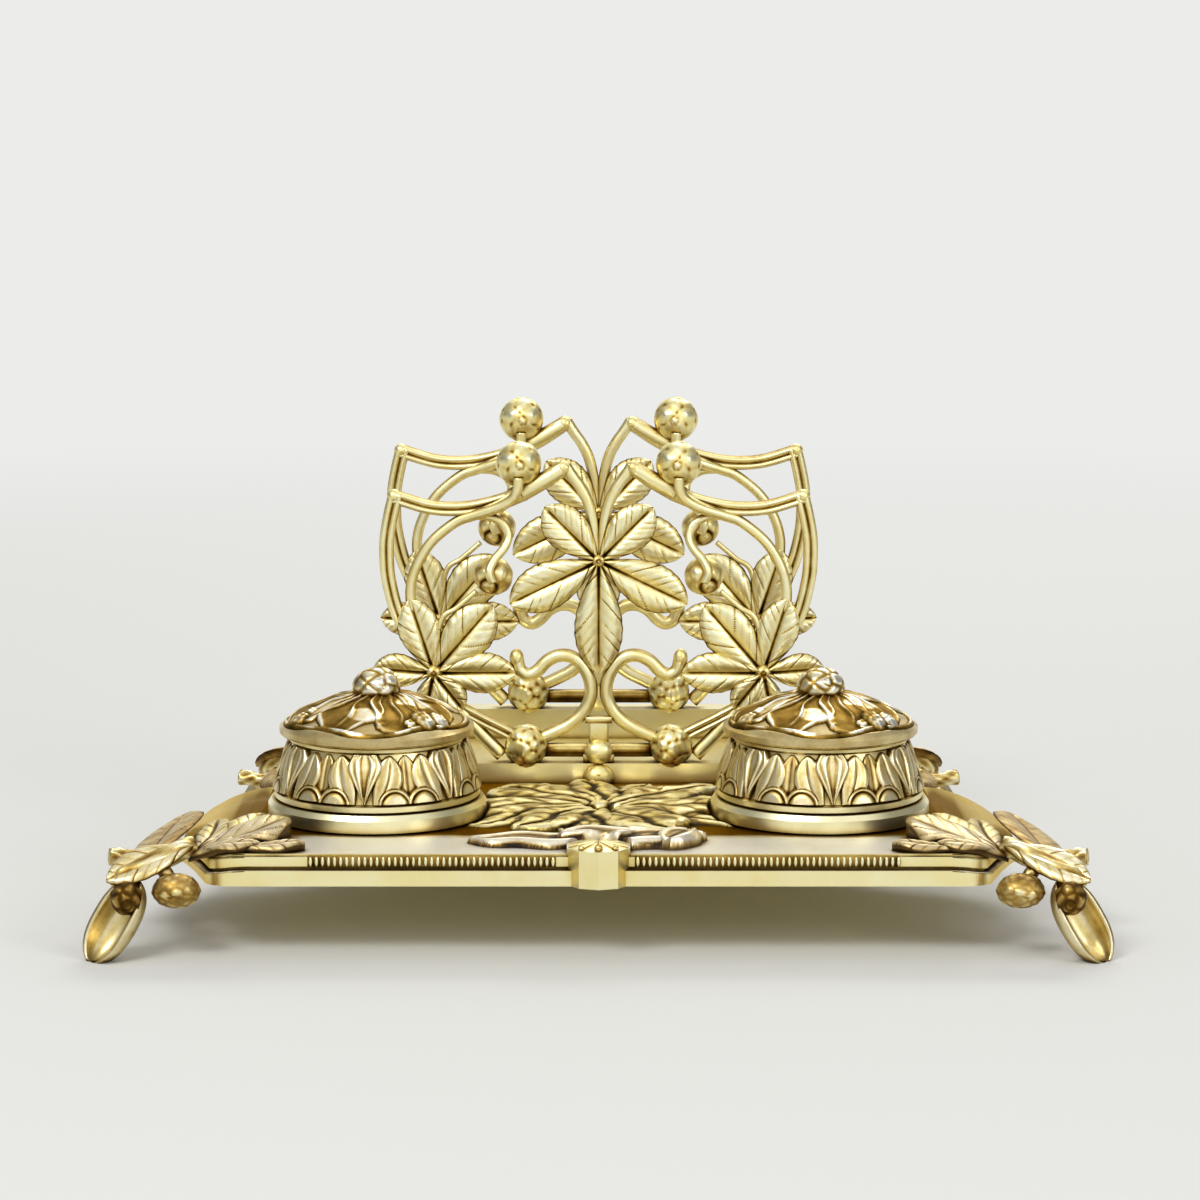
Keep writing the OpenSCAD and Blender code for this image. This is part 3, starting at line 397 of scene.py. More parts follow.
# Evenly spread directions on a sphere (golden-angle spiral)
def spiralDirections(count):
    i = np.arange(count) + 0.5
    polar, turn = np.arccos(1 - 2 * i / count), np.pi * (1 + 5 ** 0.5) * i
    return np.stack([np.cos(turn) * np.sin(polar), np.sin(turn) * np.sin(polar), np.cos(polar)], -1)


# Pebbled burr: radius r (1 - deep + deep size ease(0, crease / facets, gap)), gap being the
# cosine to the nearest pebble's middle less that to the next one, with a ringed pip towards
# `face`, and pits exp(-(gap3 / 0.06)^2) where three pebbles meet, gap3 being taken to the
# third one. Its tint runs over `shade`, painted darker as shade in the creases, in the ring round the pip and
# in the pits
def burrPart(centre, r, face=(0, 0, 1), squash=(1, 1, 1), facets=46, pip=0.17, rows=42, around=62,
             shade=(0.46, 0.9), deep=0.06, crease=6.5, pits=0.0):
    polar = np.linspace(0.02, np.pi - 0.02, rows)[:, None]
    turn = np.linspace(0, 2 * np.pi, around, endpoint=False)[None, :]
    d = np.stack([np.sin(polar) * np.cos(turn), np.sin(polar) * np.sin(turn), np.cos(polar) + 0 * turn], -1)
    chance = np.random.default_rng(int(abs(centre[0]) * 10) + facets)
    spots = spiralDirections(facets) + chance.normal(0, 0.1, (facets, 3))
    spots /= np.linalg.norm(spots, axis=1)[:, None]
    size = chance.uniform(0.35, 1, facets)
    reach = d @ spots.T
    near = np.sort(reach, -1)
    pebble = size[reach.argmax(-1)] * ease(0, crease / facets, near[..., -1] - near[..., -2])
    face = np.asarray(face, float) / np.linalg.norm(face)
    off = np.arccos(np.clip(d @ face, -1, 1))
    ringed = np.exp(-((off - 1.5 * pip) / (0.3 * pip)) ** 2)
    bud = np.exp(-(off / pip) ** 4) - 0.5 * ringed
    pit = pits * np.exp(-((near[..., -1] - near[..., -3]) / 0.06) ** 2)
    radius = 1 - deep + deep * pebble + 0.05 * bud - 0.05 * pit
    # Painted shade in the creases, round the pip and in the pits
    wearAndShade = shade[0] + (shade[1] - shade[0]) * pebble ** 0.7 - 0.45 * ringed - pit
    wearAndShade = np.clip(wearAndShade, 0.05, 1)
    rings = np.asarray(centre, float) + r * radius[..., None] * d * np.asarray(squash, float)
    return capped(rings, wearAndShade)


# Smooth knot where bars meet: a burr of eight pebbles only 2 % deep
def knotPart(centre, r, squash=(1, 1, 1)):
    return burrPart(centre, r, (0, 0, -1), squash, 8, rows=16, around=24, shade=(0.64, 0.7), deep=0.02)


# The rack plates, drawn flat: x right, y up, z towards the reader
plate = dict(
    burr=8.6, ball=8.1, openBurr=7.4, ballAt=(26.2, 5.9), burrAt=(28.6, 108.6), openAt=(37.9, 67.9),
    middle=(0, 73.7), side=(59.4, 33), thick=3.4, lift=0.17,
    frameTop=[(12, 107.6), (20, 102.8), (28, 98), (37, 94.6), (48.3, 92.4), (60.4, 92.8), (74, 96.8)],
    frameSide=[(72.6, 98), (74.6, 90), (76, 82), (76.2, 75), (75.6, 67), (73, 56), (68.5, 45)],
    peakRod=[(12, 108.2), (9.2, 103.8), (6.4, 99.8), (3.7, 94.3), (2, 87), (1.4, 80), (0.4, 71.7)],
    arcRod=[(28.6, 104.2, 6.6), (28.8, 100.6, 6.4), (30.4, 97, 5.6), (34.4, 94, 4.6), (39.6, 91.8, 3.2),
            (45.6, 89.8, 1.4), (51.5, 87.4, 0.2), (59.8, 80.6, 0), (65.2, 72.2, 0), (67.6, 64, 0),
            (67.4, 55, 0)],
    curlRod=[(45, 90, 0), (38.5, 89.3, 0.2), (33.9, 86.6, 0.6), (32.4, 82.4, 1.4), (34, 78.4, 3),
             (37.4, 74.4, 5), (39.2, 70.4, 6.6), (37.8, 66.4, 6.4)],
    scrollRod=[(29.4, 37.6), (28.2, 33.6), (25.1, 32), (21.9, 33.6), (18.6, 37), (14.2, 39),
               (9.4, 38.4), (5.4, 34.8), (3, 29.2), (3, 23.6), (5.8, 18), (10.4, 13.8), (15.8, 11),
               (21, 8.6)],
    tailBar=[(27, 7.6), (34.6, 11.6), (44, 16.4), (51.6, 21.2), (59, 31)],
    peakBar=[(13, 106.6), (20, 102.4), (28, 98.2)], sweepBar=[(27, 98.7), (32, 96), (38, 93), (46, 90)],
    backBar=[(35, 2.4, -0.4), (45, 13, -0.4), (58, 29, -0.4)],
    stalk=[(44, 62.6, 1), (51, 56.6, 1.3), (57, 51.4, 1.4), (59.4, 33, 1.2)],
    knots=[((12.6, 106.9, 0), 2.9), ((73.4, 96.9, 0), 2.6), ((29.6, 38, 0), 3, (0.9, 1.2, 0.9))],
    rails=[(-21, 21, 2, 6.7, -2, 1.4, 0.5, 0.36), (-19, 19, 3.2, 5.5, 1, 1.7, 0.3, 0.3),
           (-3.6, 3.6, 4, 16.4, -2, 1.6), (-4.9, 4.9, 14.4, 16.8, -2, 2.2, 0.6),
           (-5.6, 5.6, 0.4, 3.2, -2, 3.2, 0.7)],
    middleLeaves=[(45, 27.5, 16), (-26, 35.5, 17.5)],
    sideLeaves=[(72, 28, 15.5), (131, 32.5, 18), (180, 29.5, 15), (4, 22, 12.5), (-78, 14, 9.5),
                (-128, 17, 11)])


# Right half of a plate: its frame, bars and rods swept along their paths, then the burrs,
# then the leaflets, each a little above the one before where they overlap
def plateHalf(o):
    parts = [
        barPart(smoothPath(o["frameTop"], 9), doubleRidge(5, 4.2), wearAndShade=ridgeWear(5, 4.2)),
        barPart(smoothPath(o["frameSide"], 9), doubleRidge(5.4, 4.4), (1, 0.9), ridgeWear(5.4, 4.4)),
        barPart(smoothPath(o["peakBar"], 12), roundSection(2.75), (1, 1.3)),
        barPart(smoothPath(o["sweepBar"], 10), roundSection(3.5), (1.03, 0.5)),
        *[knotPart(*knot) for knot in o["knots"]],
        barPart(smoothPath(o["peakRod"], 8), roundSection(2.05)),
        barPart(smoothPath(o["arcRod"], 8), roundSection(1.9)),
        barPart(smoothPath(o["curlRod"], 8), roundSection(1.6)),
        barPart(smoothPath(o["scrollRod"], 7), roundSection(2.4, 18)),
        barPart(smoothPath(o["tailBar"], 10), doubleRidge(4.8, 4.2), (1, 0.9), ridgeWear(4.8, 4.2)),
        barPart(smoothPath(o["backBar"], 12), roundSection(2.6), (1, 0.9)),
        barPart(smoothPath(o["stalk"], 10), roundSection(1)),
        burrPart((*o["burrAt"], 0), o["burr"], (-0.08, 0.02, 1), pip=0.13, facets=20, shade=(0.62, 1.0),
                 pits=0.4),
        burrPart((*o["ballAt"], 0), o["ball"], (0, 0, -1), facets=36, shade=(0.62, 1), crease=5, deep=0.05,
                 pits=0.4),
        burrPart((*o["openAt"], -1), o["openBurr"], (0.3, -0.6, 1), facets=24, pip=0.3)]
    for i, (angle, length, width) in enumerate(o["middleLeaves"]):
        place = onPlate(o["middle"], angle, 0.83 + i * o["lift"])
        parts.append(leafletPart(length, width, o["thick"], place))
    for i, (angle, length, width) in enumerate(o["sideLeaves"]):
        place = onPlate(o["side"], angle, 0.37 + i * o["lift"])
        parts.append(leafletPart(length, width, o["thick"], place, veins=8 if length > 20 else 6))
    parts.append(burrPart((*o["side"], 0.9), 3.5, facets=20, squash=(1, 1, 0.9), rows=16, around=24))
    return parts


# Box with rounded edges as a swept section, from x0 to x1: quarter circles of radius `soft`
# about the corners of the box drawn in by it; `shine` is the tint of its front half, with one rounded edge
# painted 0.25 lighter as a highlight and the other 0.25 darker as shade, and the back half is 0.2
def railPart(x0, x1, y0, y1, z0, z1, soft=0.5, shine=0.62):
    y, z, r = (y0 + y1) / 2, (z0 + z1) / 2, soft
    a = np.linspace(0, 2 * np.pi, 20, endpoint=False) + np.pi / 20
    section = np.stack([np.sign(np.sin(a)) * ((y1 - y0) / 2 - r) + r * np.sin(a),
                        np.sign(np.cos(a)) * ((z1 - z0) / 2 - r) + r * np.cos(a)], -1)
    xs = np.linspace(x0, x1, 8)
    rings = np.stack([xs[:, None] + 0 * section[None, :, 0], y + section[None, :, 0] + 0 * xs[:, None],
                      z + section[None, :, 1] + 0 * xs[:, None]], -1)
    # Painted highlight on one rounded edge and painted shade on the other
    edge = np.sign(section[:, 0]) * (np.abs(section[:, 0]) > (y1 - y0) / 2 - r)
    wearAndShade = np.where(section[:, 1] > 0, shine + 0.25 * edge, 0.2)
    return capped(rings, np.tile(np.clip(wearAndShade, 0, 1), (8, 1)))


# Whole plate: both halves, the leaflet and bud in the middle, and the rails at the foot
def plateParts(o):
    half = plateHalf(o)
    parts = half + mirrored(half)
    parts.append(leafletPart(41, 17.5, o["thick"], onPlate(o["middle"], -90, 1)))
    parts.append(burrPart((*o["middle"], 1.9), 2.6, squash=(1, 1, 0.7), facets=16, rows=14, around=20))
    parts += [railPart(*rail) for rail in o["rails"]]
    parts.append(burrPart((0, 3.6, 1.2), 5.2, squash=(1.08, 0.95, 0.8), facets=8, pip=0.05, shade=(0.7, 0.85),
                          deep=0.02))
    return parts


# Stands a flat plate up: its y becomes height above z, its face looks to -Y
def stood(parts, y, z):
    return [(np.stack([v[:, 0], y - v[:, 2], z + v[:, 1]], -1), q, t, w) for v, q, t, w in parts]


# What would lie inside the base is drawn to the nearer of its top and front faces
def keptOff(parts, frontY, topZ):
    out = []
    for v, q, t, w in parts:
        v = v.copy()
        low = (v[:, 2] < topZ) & (v[:, 1] > frontY)
        nearTop = topZ - v[:, 2] < v[:, 1] - frontY
        v[low & nearTop, 2] = topZ - 0.02
        v[low & ~nearTop, 1] = frontY - 0.02
        out.append((v, q, t, w))
    return out


flatPlate = plateParts(plate)
pieceFrom("rackPlateFront", keptOff(stood(flatPlate, 30.5, 41.5), 27, 41.5), castBrass,
          replaces=["rack_plate_front"])
pieceFrom("rackPlateBack", keptOff(stood(flatPlate, 80.5, 52.5), 77, 52.5), castBrass,
          replaces=["rack_plate_back"])
print("rack plates done")


# How much lower a grid point lies than the mean of its neighbours 1 and 2 `reach` away
def recess(height, reach):
    steps = [(step, axis) for axis in (0, 1) for step in (reach, -reach, 2 * reach, -2 * reach)]
    return sum(np.roll(height, step, axis) for step, axis in steps) / 8 - height


# Points at radius r and angle a round an upright axis through x, y, at the height z
def turnedRings(x, y, r, a, z):
    return np.stack([x + r * np.cos(a), y + r * np.sin(a), z + 0 * a], -1)


# Height of leaflets over a surface with coordinates x, y: the highest of all leaflets,
# each rise * swell * (0.55 + 0.45 sin(pi t)^0.6) with veins `depth` deep and a midrib
# groove; 0 outside. `fan` adds that many half waves across a leaflet, as on a palmette.
# A leaflet is (x, y, angle, length, width, level), the level added where leaves overlap
def leafField(x, y, leaflets, rise, veins=6, broad=1.4, fine=0.3, depth=0.16, fan=0):
    height, wearAndShade = np.zeros_like(x), np.zeros_like(x)
    for cx, cy, angle, length, width, level in leaflets:
        c, n = math.cos(math.radians(angle)), math.sin(math.radians(angle))
        s, a = (x - cx) * c + (y - cy) * n, (y - cy) * c - (x - cx) * n
        t = s / length
        half = np.maximum(leafHalf(t, broad) * width / 2, 1e-3)
        v = a / half
        inside = (t > 0.01) & (t < 0.995) & (np.abs(v) < 1)
        grooves, pillows = leafVeins(s, a, length / veins, fine)
        pillows = pillows if depth else 0.8
        fade = ease(0.05, 0.2, np.abs(v)) * ease(1, 0.8, np.abs(v)) * ease(1, 0.9, t)
        rib = np.exp(-(a / (0.045 * width)) ** 2) * ease(1.0, 0.8, t) * (0.3 if fan else 1)
        flutes = (fan > 0) * np.cos(fan * np.pi * v)
        h = rise * (leafSwell(v) * (0.55 + 0.45 * np.sin(np.pi * np.clip(t, 0, 1)) ** 0.6)
                    - depth * grooves * fade - 0.3 * rib + 0.1 * flutes) + level
        # Tint darker in the veins and midrib with patina, and towards the edge with painted shade
        w = np.clip(0.66 + 0.3 * pillows * leafSwell(v) - 3 * depth * grooves * fade - 0.6 * rib
                    - 0.3 * ease(0.85, 1, np.abs(v)) + 0.2 * flutes, 0.05, 1)
        over = inside & (h > height)
        height, wearAndShade = np.where(over, h, height), np.where(over, w, wearAndShade)
    return height, wearAndShade


# The wells: a frieze of three-lobed leaves round the cone, with scallops at its foot
well = dict(x=76.75, y=-27, foot=41, low=3.2, high=20.6, rLow=34.35, rHigh=29.5, coneTop=19.6, repeats=7,
            around=1120, up=70,
            rise=2.1, middle=[(0, -2, 90, 20.6, 12.8, 0.5)], sides=[(3.8, -2, 76, 18.6, 9.6, 0.1)],
            gaps=[(14.3, -1, 90, 17.2, 8, -0.7)], arcAt=9.6, arcR=4.7)


# Frieze round a well: the cone's radius at z, falling evenly from rLow to rHigh, plus the
# highest of the middle leaflets, the pairs beside them and those in the gaps, each repeated
# round the cone; in front of them, scallops of radius arcR with a bead exp(-(arc / 0.35)^2)
# on their edge. Flat behind, where the hinge sits
def friezePart(o, side, turn):
    a = np.linspace(0, 2 * np.pi, o["around"], endpoint=False)[:, None]
    z = np.linspace(o["low"], o["high"], o["up"])[None, :]
    fall = (z - o["low"]) / (o["coneTop"] - o["low"]) * (o["rHigh"] - o["rLow"])
    r = np.maximum(o["rHigh"], o["rLow"] + fall)
    step = 2 * np.pi / o["repeats"]
    local = ((a + turn + step / 2) % step - step / 2) * (o["rLow"] + o["rHigh"]) / 2
    x, y = local + 0 * z, z - o["low"] + 0 * a
    notch = 1.1 * np.abs(np.sin(0.85 * x)) * ease(9, 15, y)
    height, wearAndShade = leafField(x, y + notch, o["middle"], o["rise"], broad=2.6, depth=0, fan=5)
    bulge = 1.5 * np.sin(np.pi * np.clip(y / 18, 0, 1))
    near, nearWearAndShade = leafField(np.abs(x) - bulge, y, o["sides"], o["rise"], broad=1.25, depth=0, fan=2)
    wearAndShade = np.where(near > height, nearWearAndShade, wearAndShade)
    height = np.maximum(height, near)
    far, farWearAndShade = leafField(np.abs(x), y, o["gaps"], o["rise"], broad=1.3, depth=0, fan=2)
    wearAndShade = np.where(far > height, farWearAndShade - 0.15, wearAndShade)
    height = np.maximum(height, far)
    arc = np.hypot(np.abs(x) - o["arcAt"], y * 0.95) - o["arcR"]
    bead = np.exp(-(arc / 0.35) ** 2)
    front = (arc < 0.7) & (np.abs(x) > 4.4 - 0.3 * y)
    shell = 1.5 + 0.5 * bead + 0.5 * ease(0, -2.2, arc)
    height = np.where(front, shell, height)
    groove = np.exp(-((arc + 0.7) / 0.3) ** 2)
    wearAndShade = np.where(front, 0.5 + 0.4 * np.maximum(bead, ease(-0.6, -2.4, arc)) - 0.4 * groove, wearAndShade)
    # Painted shade: darker where the relief lies lower than its neighbours
    wearAndShade = np.where(height > 0.08, wearAndShade, 0.45) - 1.7 * np.clip(recess(height, 3), 0, 1)
    keep = ease(0.93, 0.88, np.cos(a - np.pi / 2))
    height = height * keep * ease(0, 0.5, y) * ease(17.2, 16.6, y)
    wearAndShade = np.clip(wearAndShade, 0.03, 1)
    top = turnedRings(side * o["x"], o["y"], r + height - 0.04, a, o["foot"] + z)
    inner = turnedRings(side * o["x"], o["y"], r[:, ::-9] - 0.6 + 0 * a, a, o["foot"] + z[:, ::-9])
    return looped(np.concatenate([top, inner], 1), np.concatenate([wearAndShade, 0 * wearAndShade[:, ::9]], 1))


# The lids: broad leaves with curled edges drawn over the dome, small nuts between them and
# a burr as the knob
domeShape = [(0, 1), (0.19, 0.94), (0.45, 0.75), (0.74, 0.42), (0.95, 0.125), (1, 0)]
lid = dict(z=66.4, r=32.8, high=11, rise=1.7, at=(-0.5, 2), around=480, out=84,
           leaflets=[(0, 0, 248, 33, 23, 0), (0, 0, 292, 34, 19, 0.2), (0, 0, 205, 33, 20, 0.15),
                     (0, 0, 330, 32, 18, 0.1), (0, 0, 168, 31, 19, 0), (0, 0, 8, 31, 18, 0.2),
                     (0, 0, 122, 30, 20, 0.1), (0, 0, 62, 29, 21, 0)],
           nuts=[(-26, -12, 3.8), (-22.5, -8.5, 2.6), (17, -20, 4.6), (22, -16, 3.6), (13, -24, 2.6),
                 (3, -27, 2)])
knob = dict(z=78.9, r=8.5, face=(0.3, -1, 0.5), squash=(1.02, 1.0, 0.86), facets=26, pip=0.12, deep=0.1,
            shade=(0.42, 1.1), crease=2.4)


# Height of curled leaves: rise (0.3 + 0.7 |v|^2.4) sin(pi t)^0.5 up to |v| = 0.9 and falling
# from there, v the way across and t the way along; a leaf as in leafField
def curledField(x, y, leaflets, rise):
    height = np.zeros_like(x)
    for cx, cy, angle, length, width, level in leaflets:
        c, n = math.cos(math.radians(angle)), math.sin(math.radians(angle))
        s, a = (x - cx) * c + (y - cy) * n, (y - cy) * c - (x - cx) * n
        t = np.clip(s / length, 0, 1)
        a = a + 1.3 * np.sin(4.5 * t + angle)
        v = np.abs(a) / np.maximum(leafHalf(t, 1.6) * width / 2, 1e-3)
        h = rise * (0.3 + 0.7 * v ** 2.4) * np.sin(np.pi * t) ** 0.5 * ease(1.0, 0.88, v) + level
        mid = 0.45 * rise * np.exp(-(a / 0.7) ** 2) * ease(0.05, 0.2, t) * ease(0.95, 0.7, t)
        h = np.where((v < 1) & (s > 0.5), h + mid, 0)
        height = np.maximum(height, h)
    return height


# Relief of a lid over its dome: the highest of the curled leaves, the nuts, each a part of a
# ball 0.62 size (1 - (d / size)^2)^0.5 high, and a rolled rim 0.9 + 0.4 sin(7 a + 2) high.
# It is painted lighter where it stands higher than its neighbours, for rubbing and a highlight, darker where
# it lies lower, as shade, and pale in patches, as painted highlights
def lidReliefPart(o, side):
    a = np.linspace(0, 2 * np.pi, o["around"], endpoint=False)[:, None]
    r = np.linspace(4.0, o["r"] - 0.1, o["out"])[None, :]
    dome = o["z"] + o["high"] * np.interp(r / o["r"], *zip(*domeShape))
    x, y = r * np.cos(a), r * np.sin(a)
    wx, wy = x + 0.9 * np.sin(0.42 * y + 1), y + 0.9 * np.sin(0.5 * x)
    leaflets = [(o["at"][0], o["at"][1], *l[2:]) for l in o["leaflets"]]
    height = curledField(wx, wy, leaflets, o["rise"])
    for nutX, nutY, size in o["nuts"]:
        nut = np.clip(1 - ((x - nutX) ** 2 + (y - nutY) ** 2) / size ** 2, 0, 1) ** 0.5 * size * 0.62
        height = np.maximum(height, nut + 0.25 * (nut > 0.1) * np.sin(2.1 * x) * np.sin(1.9 * y))
    roll = (0.9 + 0.4 * np.sin(7 * a + 2)) * np.exp(-((r - o["r"] + 2.2 + 1.2 * np.sin(5 * a)) / 0.8) ** 2)
    height = np.maximum(height, roll)
    height = height * ease(o["r"], o["r"] - 1.3, r) * ease(0.985, 0.95, np.sin(a) + 0 * r)
    # Painted highlights on the crests and in pale patches, painted shade where it lies lower
    crest = -recess(height, 3)
    rubAndGlint = 0.35 + 0.65 * ease(-0.2, 0.5, np.sin(0.31 * x + 1) * np.sin(0.27 * y))
    glintWaves = np.sin(0.21 * x + 2.2 + 0.5 * np.sin(0.3 * y)) * np.sin(0.26 * y + 0.6)
    glintPatches = ease(0.25, 0.6, glintWaves) * ease(0.2, 0.6, height)
    wearAndShade = 0.42 + 0.42 * glintPatches + np.where(crest > 0, 1.9 * rubAndGlint, 1.1) * crest
    wearAndShade = np.clip(wearAndShade, 0.05, 1)
    top = turnedRings(side * well["x"], well["y"], r, a, dome + height - 0.08)
    under = turnedRings(side * well["x"], well["y"], r[:, ::-5], a, dome[:, ::-5] - 0.7)
    return looped(np.concatenate([top, under], 1), np.concatenate([wearAndShade, 0 * wearAndShade[:, ::5]], 1))


for sideName, side in sides.items():
    frieze = friezePart(well, side, math.radians(90 - 4 * side))
    pieceFrom("wellFrieze_" + sideName, [frieze], footBrass)
    lidBody = lidBodies[sideName]
    pieceFrom("lidLeaf_" + sideName, [lidReliefPart(lid, side)], patinaBrass, lidBody)
    look = {key: value for key, value in knob.items() if key != "z"}
    burr = burrPart((side * well["x"], well["y"], knob["z"]), **look)
    pieceFrom("knobBurr_" + sideName, [burr], patinaBrass, lidBody)
print("wells done")


# The feet: leaves, twig, burr, nut and husk of one corner casting, at the front right
foot = dict(front=(131, -95), rear=(100, -95), spread=0.6, thick=3,
            leaflets=[(0, 14, 121, 35, 18, 3.4), (3, 14, 152, 34, 24, 4.6), (5, 8.5, 184, 24, 11.5, 1.0),
                      (-12, 4.5, 172, 22, 9, 1.4), (3, 17, 98, 30, 14, 2.4)],
            leafBack=(21, 7, 27.2, 97, 70, 27, 27),
            twig=[(4, 12, 34.4), (8, 9, 34.2), (15, 4, 31.8), (22, 0, 28.8), (25.6, -1.6, 26.8),
                  (26.6, -2.6, 24)],
            stub=[(22, 37, 25.6), (28, 35, 26.2), (34.5, 33, 27)],
            leafFront=((3, 9.4, 35), (27, -13.4, -8.6), (0.28, -0.66, 0.7), 32, 14.5),
            stalk=[(9, 0, 24), (11.4, 1.6, 27.6), (14, 3, 30.4)],
            branch=[(12, 9, 32), (17, 22, 29.4), (24, 36, 26)],
            husk=((20.5, -2, 27), (36.6, -5.8, -0.8), 16, 1.5), nut=(24, -5.8, 21.4), burr=(8, -2, 23))
topZ, dropStart, dropEnd, dropDepth = 34.5, 116.75, 146.5, 10.0


# Fall of the tray's top at x: dropDepth ((|x| - dropStart) / (dropEnd - dropStart))^2
def trayDrop(x):
    return dropDepth * (np.clip(np.abs(x) - dropStart, 0, None) / (dropEnd - dropStart)) ** 2


# Tube along a path in space: point + r (cos a * side + sin a * up), rough by a few waves
def twigPart(path, r0, r1, rough=0.05, count=18, per=10):
    path = smoothPath(path, per)
    ahead = np.gradient(path, axis=0)
    ahead /= np.linalg.norm(ahead, axis=1)[:, None]
    side = np.cross(ahead, [0.2, 0.9, 0.4])
    side /= np.linalg.norm(side, axis=1)[:, None]
    up = np.cross(side, ahead)
    a = np.linspace(0, 2 * np.pi, count, endpoint=False)[None, :]
    t = np.linspace(0, 1, len(path))[:, None]
    wave = 1 + rough * (np.sin(3 * a + 9 * t) + np.sin(5 * a - 17 * t))
    r = (r0 + (r1 - r0) * t) * wave
    spokes = np.cos(a)[..., None] * side[:, None] + np.sin(a)[..., None] * up[:, None]
    rings = path[:, None] + r[..., None] * spokes
    wearAndShade = np.clip(0.66 + 2.4 * (wave - 1), 0.1, 1) + 0 * t
    return capped(rings, wearAndShade)


# Leaflet coordinates turned so that they run along `along` with their face to `face`
def facing(at, along, face):
    x = np.asarray(along, float) / np.linalg.norm(along)
    y = np.cross(face, x)
    y /= np.linalg.norm(y)
    return lambda p: np.asarray(at) + p[..., :1] * x + p[..., 1:2] * y + p[..., 2:] * np.cross(x, y)


# Open husk: outer half-shell w (1 - |2u - 1|^2.6)^0.6 wide, closed by the same shell drawn
# in by the wall, with faint waves inside; u runs from the top to the tip
def huskPart(top, tip, width, wall):
    top, tip = np.asarray(top, float), np.asarray(tip, float)
    axis = (tip - top) / np.linalg.norm(tip - top)
    face = np.array([0.62, -1, 0.5])
    face -= axis * (face @ axis)
    face /= np.linalg.norm(face)
    side = np.cross(axis, face)
    u = np.linspace(0.012, 0.988, 40)[:, None]
    a = np.radians(np.linspace(-104, 104, 31))[None, :]
    half = width / 2 * (1 - np.abs(2 * u - 1) ** 2.6) ** 0.6
    outer = half * (1 + 0.012 * np.sin(9 * a))
    back = a[:, ::-1]
    inner = np.maximum(half - wall, 0.2) * (1 + 0.01 * np.sin(9 * back + 4 * u))
    along = top + (tip - top) * u
    at = lambda r, t: along[:, None] + (r * np.sin(t))[..., None] * side - (r * np.cos(t))[..., None] * face
    rings = np.concatenate([at(outer, a), at(inner, back)], 1)
    wearAndShade = np.concatenate([0.62 + 0.3 * ease(1.2, 1.7, np.abs(a)) + 0 * u,
                           0.74 + 0.08 * np.sin(9 * back + 4 * u) + 0.2 * ease(1.4, 1.8, np.abs(back))
                           - 0.25 * ease(0.3, 0.02, u)], 1)
    return capped(rings, np.clip(wearAndShade, 0.05, 1))


# Places leaflet i of a corner on the tray: turned by its angle, laid on the tray's top
# topZ - trayDrop(x), rising by `curl` towards its tip and half that at one edge, with a wave
# 0.7 sin(0.4 s + 2 i) v^2
def onTrayCorner(o, corner, spread, i):
    rootX, rootY, angle, length, width, curl = o["leaflets"][i]
    c, n = math.cos(math.radians(angle)), math.sin(math.radians(angle))

    def drape(p):
        x = corner[0] + rootX * spread + c * p[..., 0] - n * p[..., 1]
        y = corner[1] + rootY + n * p[..., 0] + c * p[..., 1]
        beside = p[..., 1] / (width * spread / 2)
        wave = 0.7 * np.sin(0.4 * p[..., 0] + 2 * i) * np.abs(beside) ** 2 * width / 14
        tipwards = ease(0.3, 1, p[..., 0] / (length * spread))
        rise = curl * spread * (tipwards + 0.5 * np.clip(-beside, 0, 1) ** 2)
        lift = np.where(p[..., 2] > 0.15, wave + 0.25 * (i % 3) + rise, 0)
        return np.stack([x, y, topZ - 0.1 - trayDrop(x) + p[..., 2] + np.maximum(lift, -0.8 * p[..., 2])], -1)

    return drape


# Places the leaf that hangs outwards from a foot: turned by its angle, then tilted
def besideFoot(o, corner):
    x0, y0, z0, angle, _, _, tilt = o["leafBack"]
    c, n = math.cos(math.radians(angle)), math.sin(math.radians(angle))
    ct, st = math.cos(math.radians(tilt)), math.sin(math.radians(tilt))

    def lean(p):
        x, y = c * p[..., 0] - n * p[..., 1], n * p[..., 0] + c * p[..., 1]
        return np.stack([corner[0] + x0 + ct * x + st * p[..., 2], corner[1] + y0 + y,
                         z0 - st * x + ct * p[..., 2]], -1)

    return lean


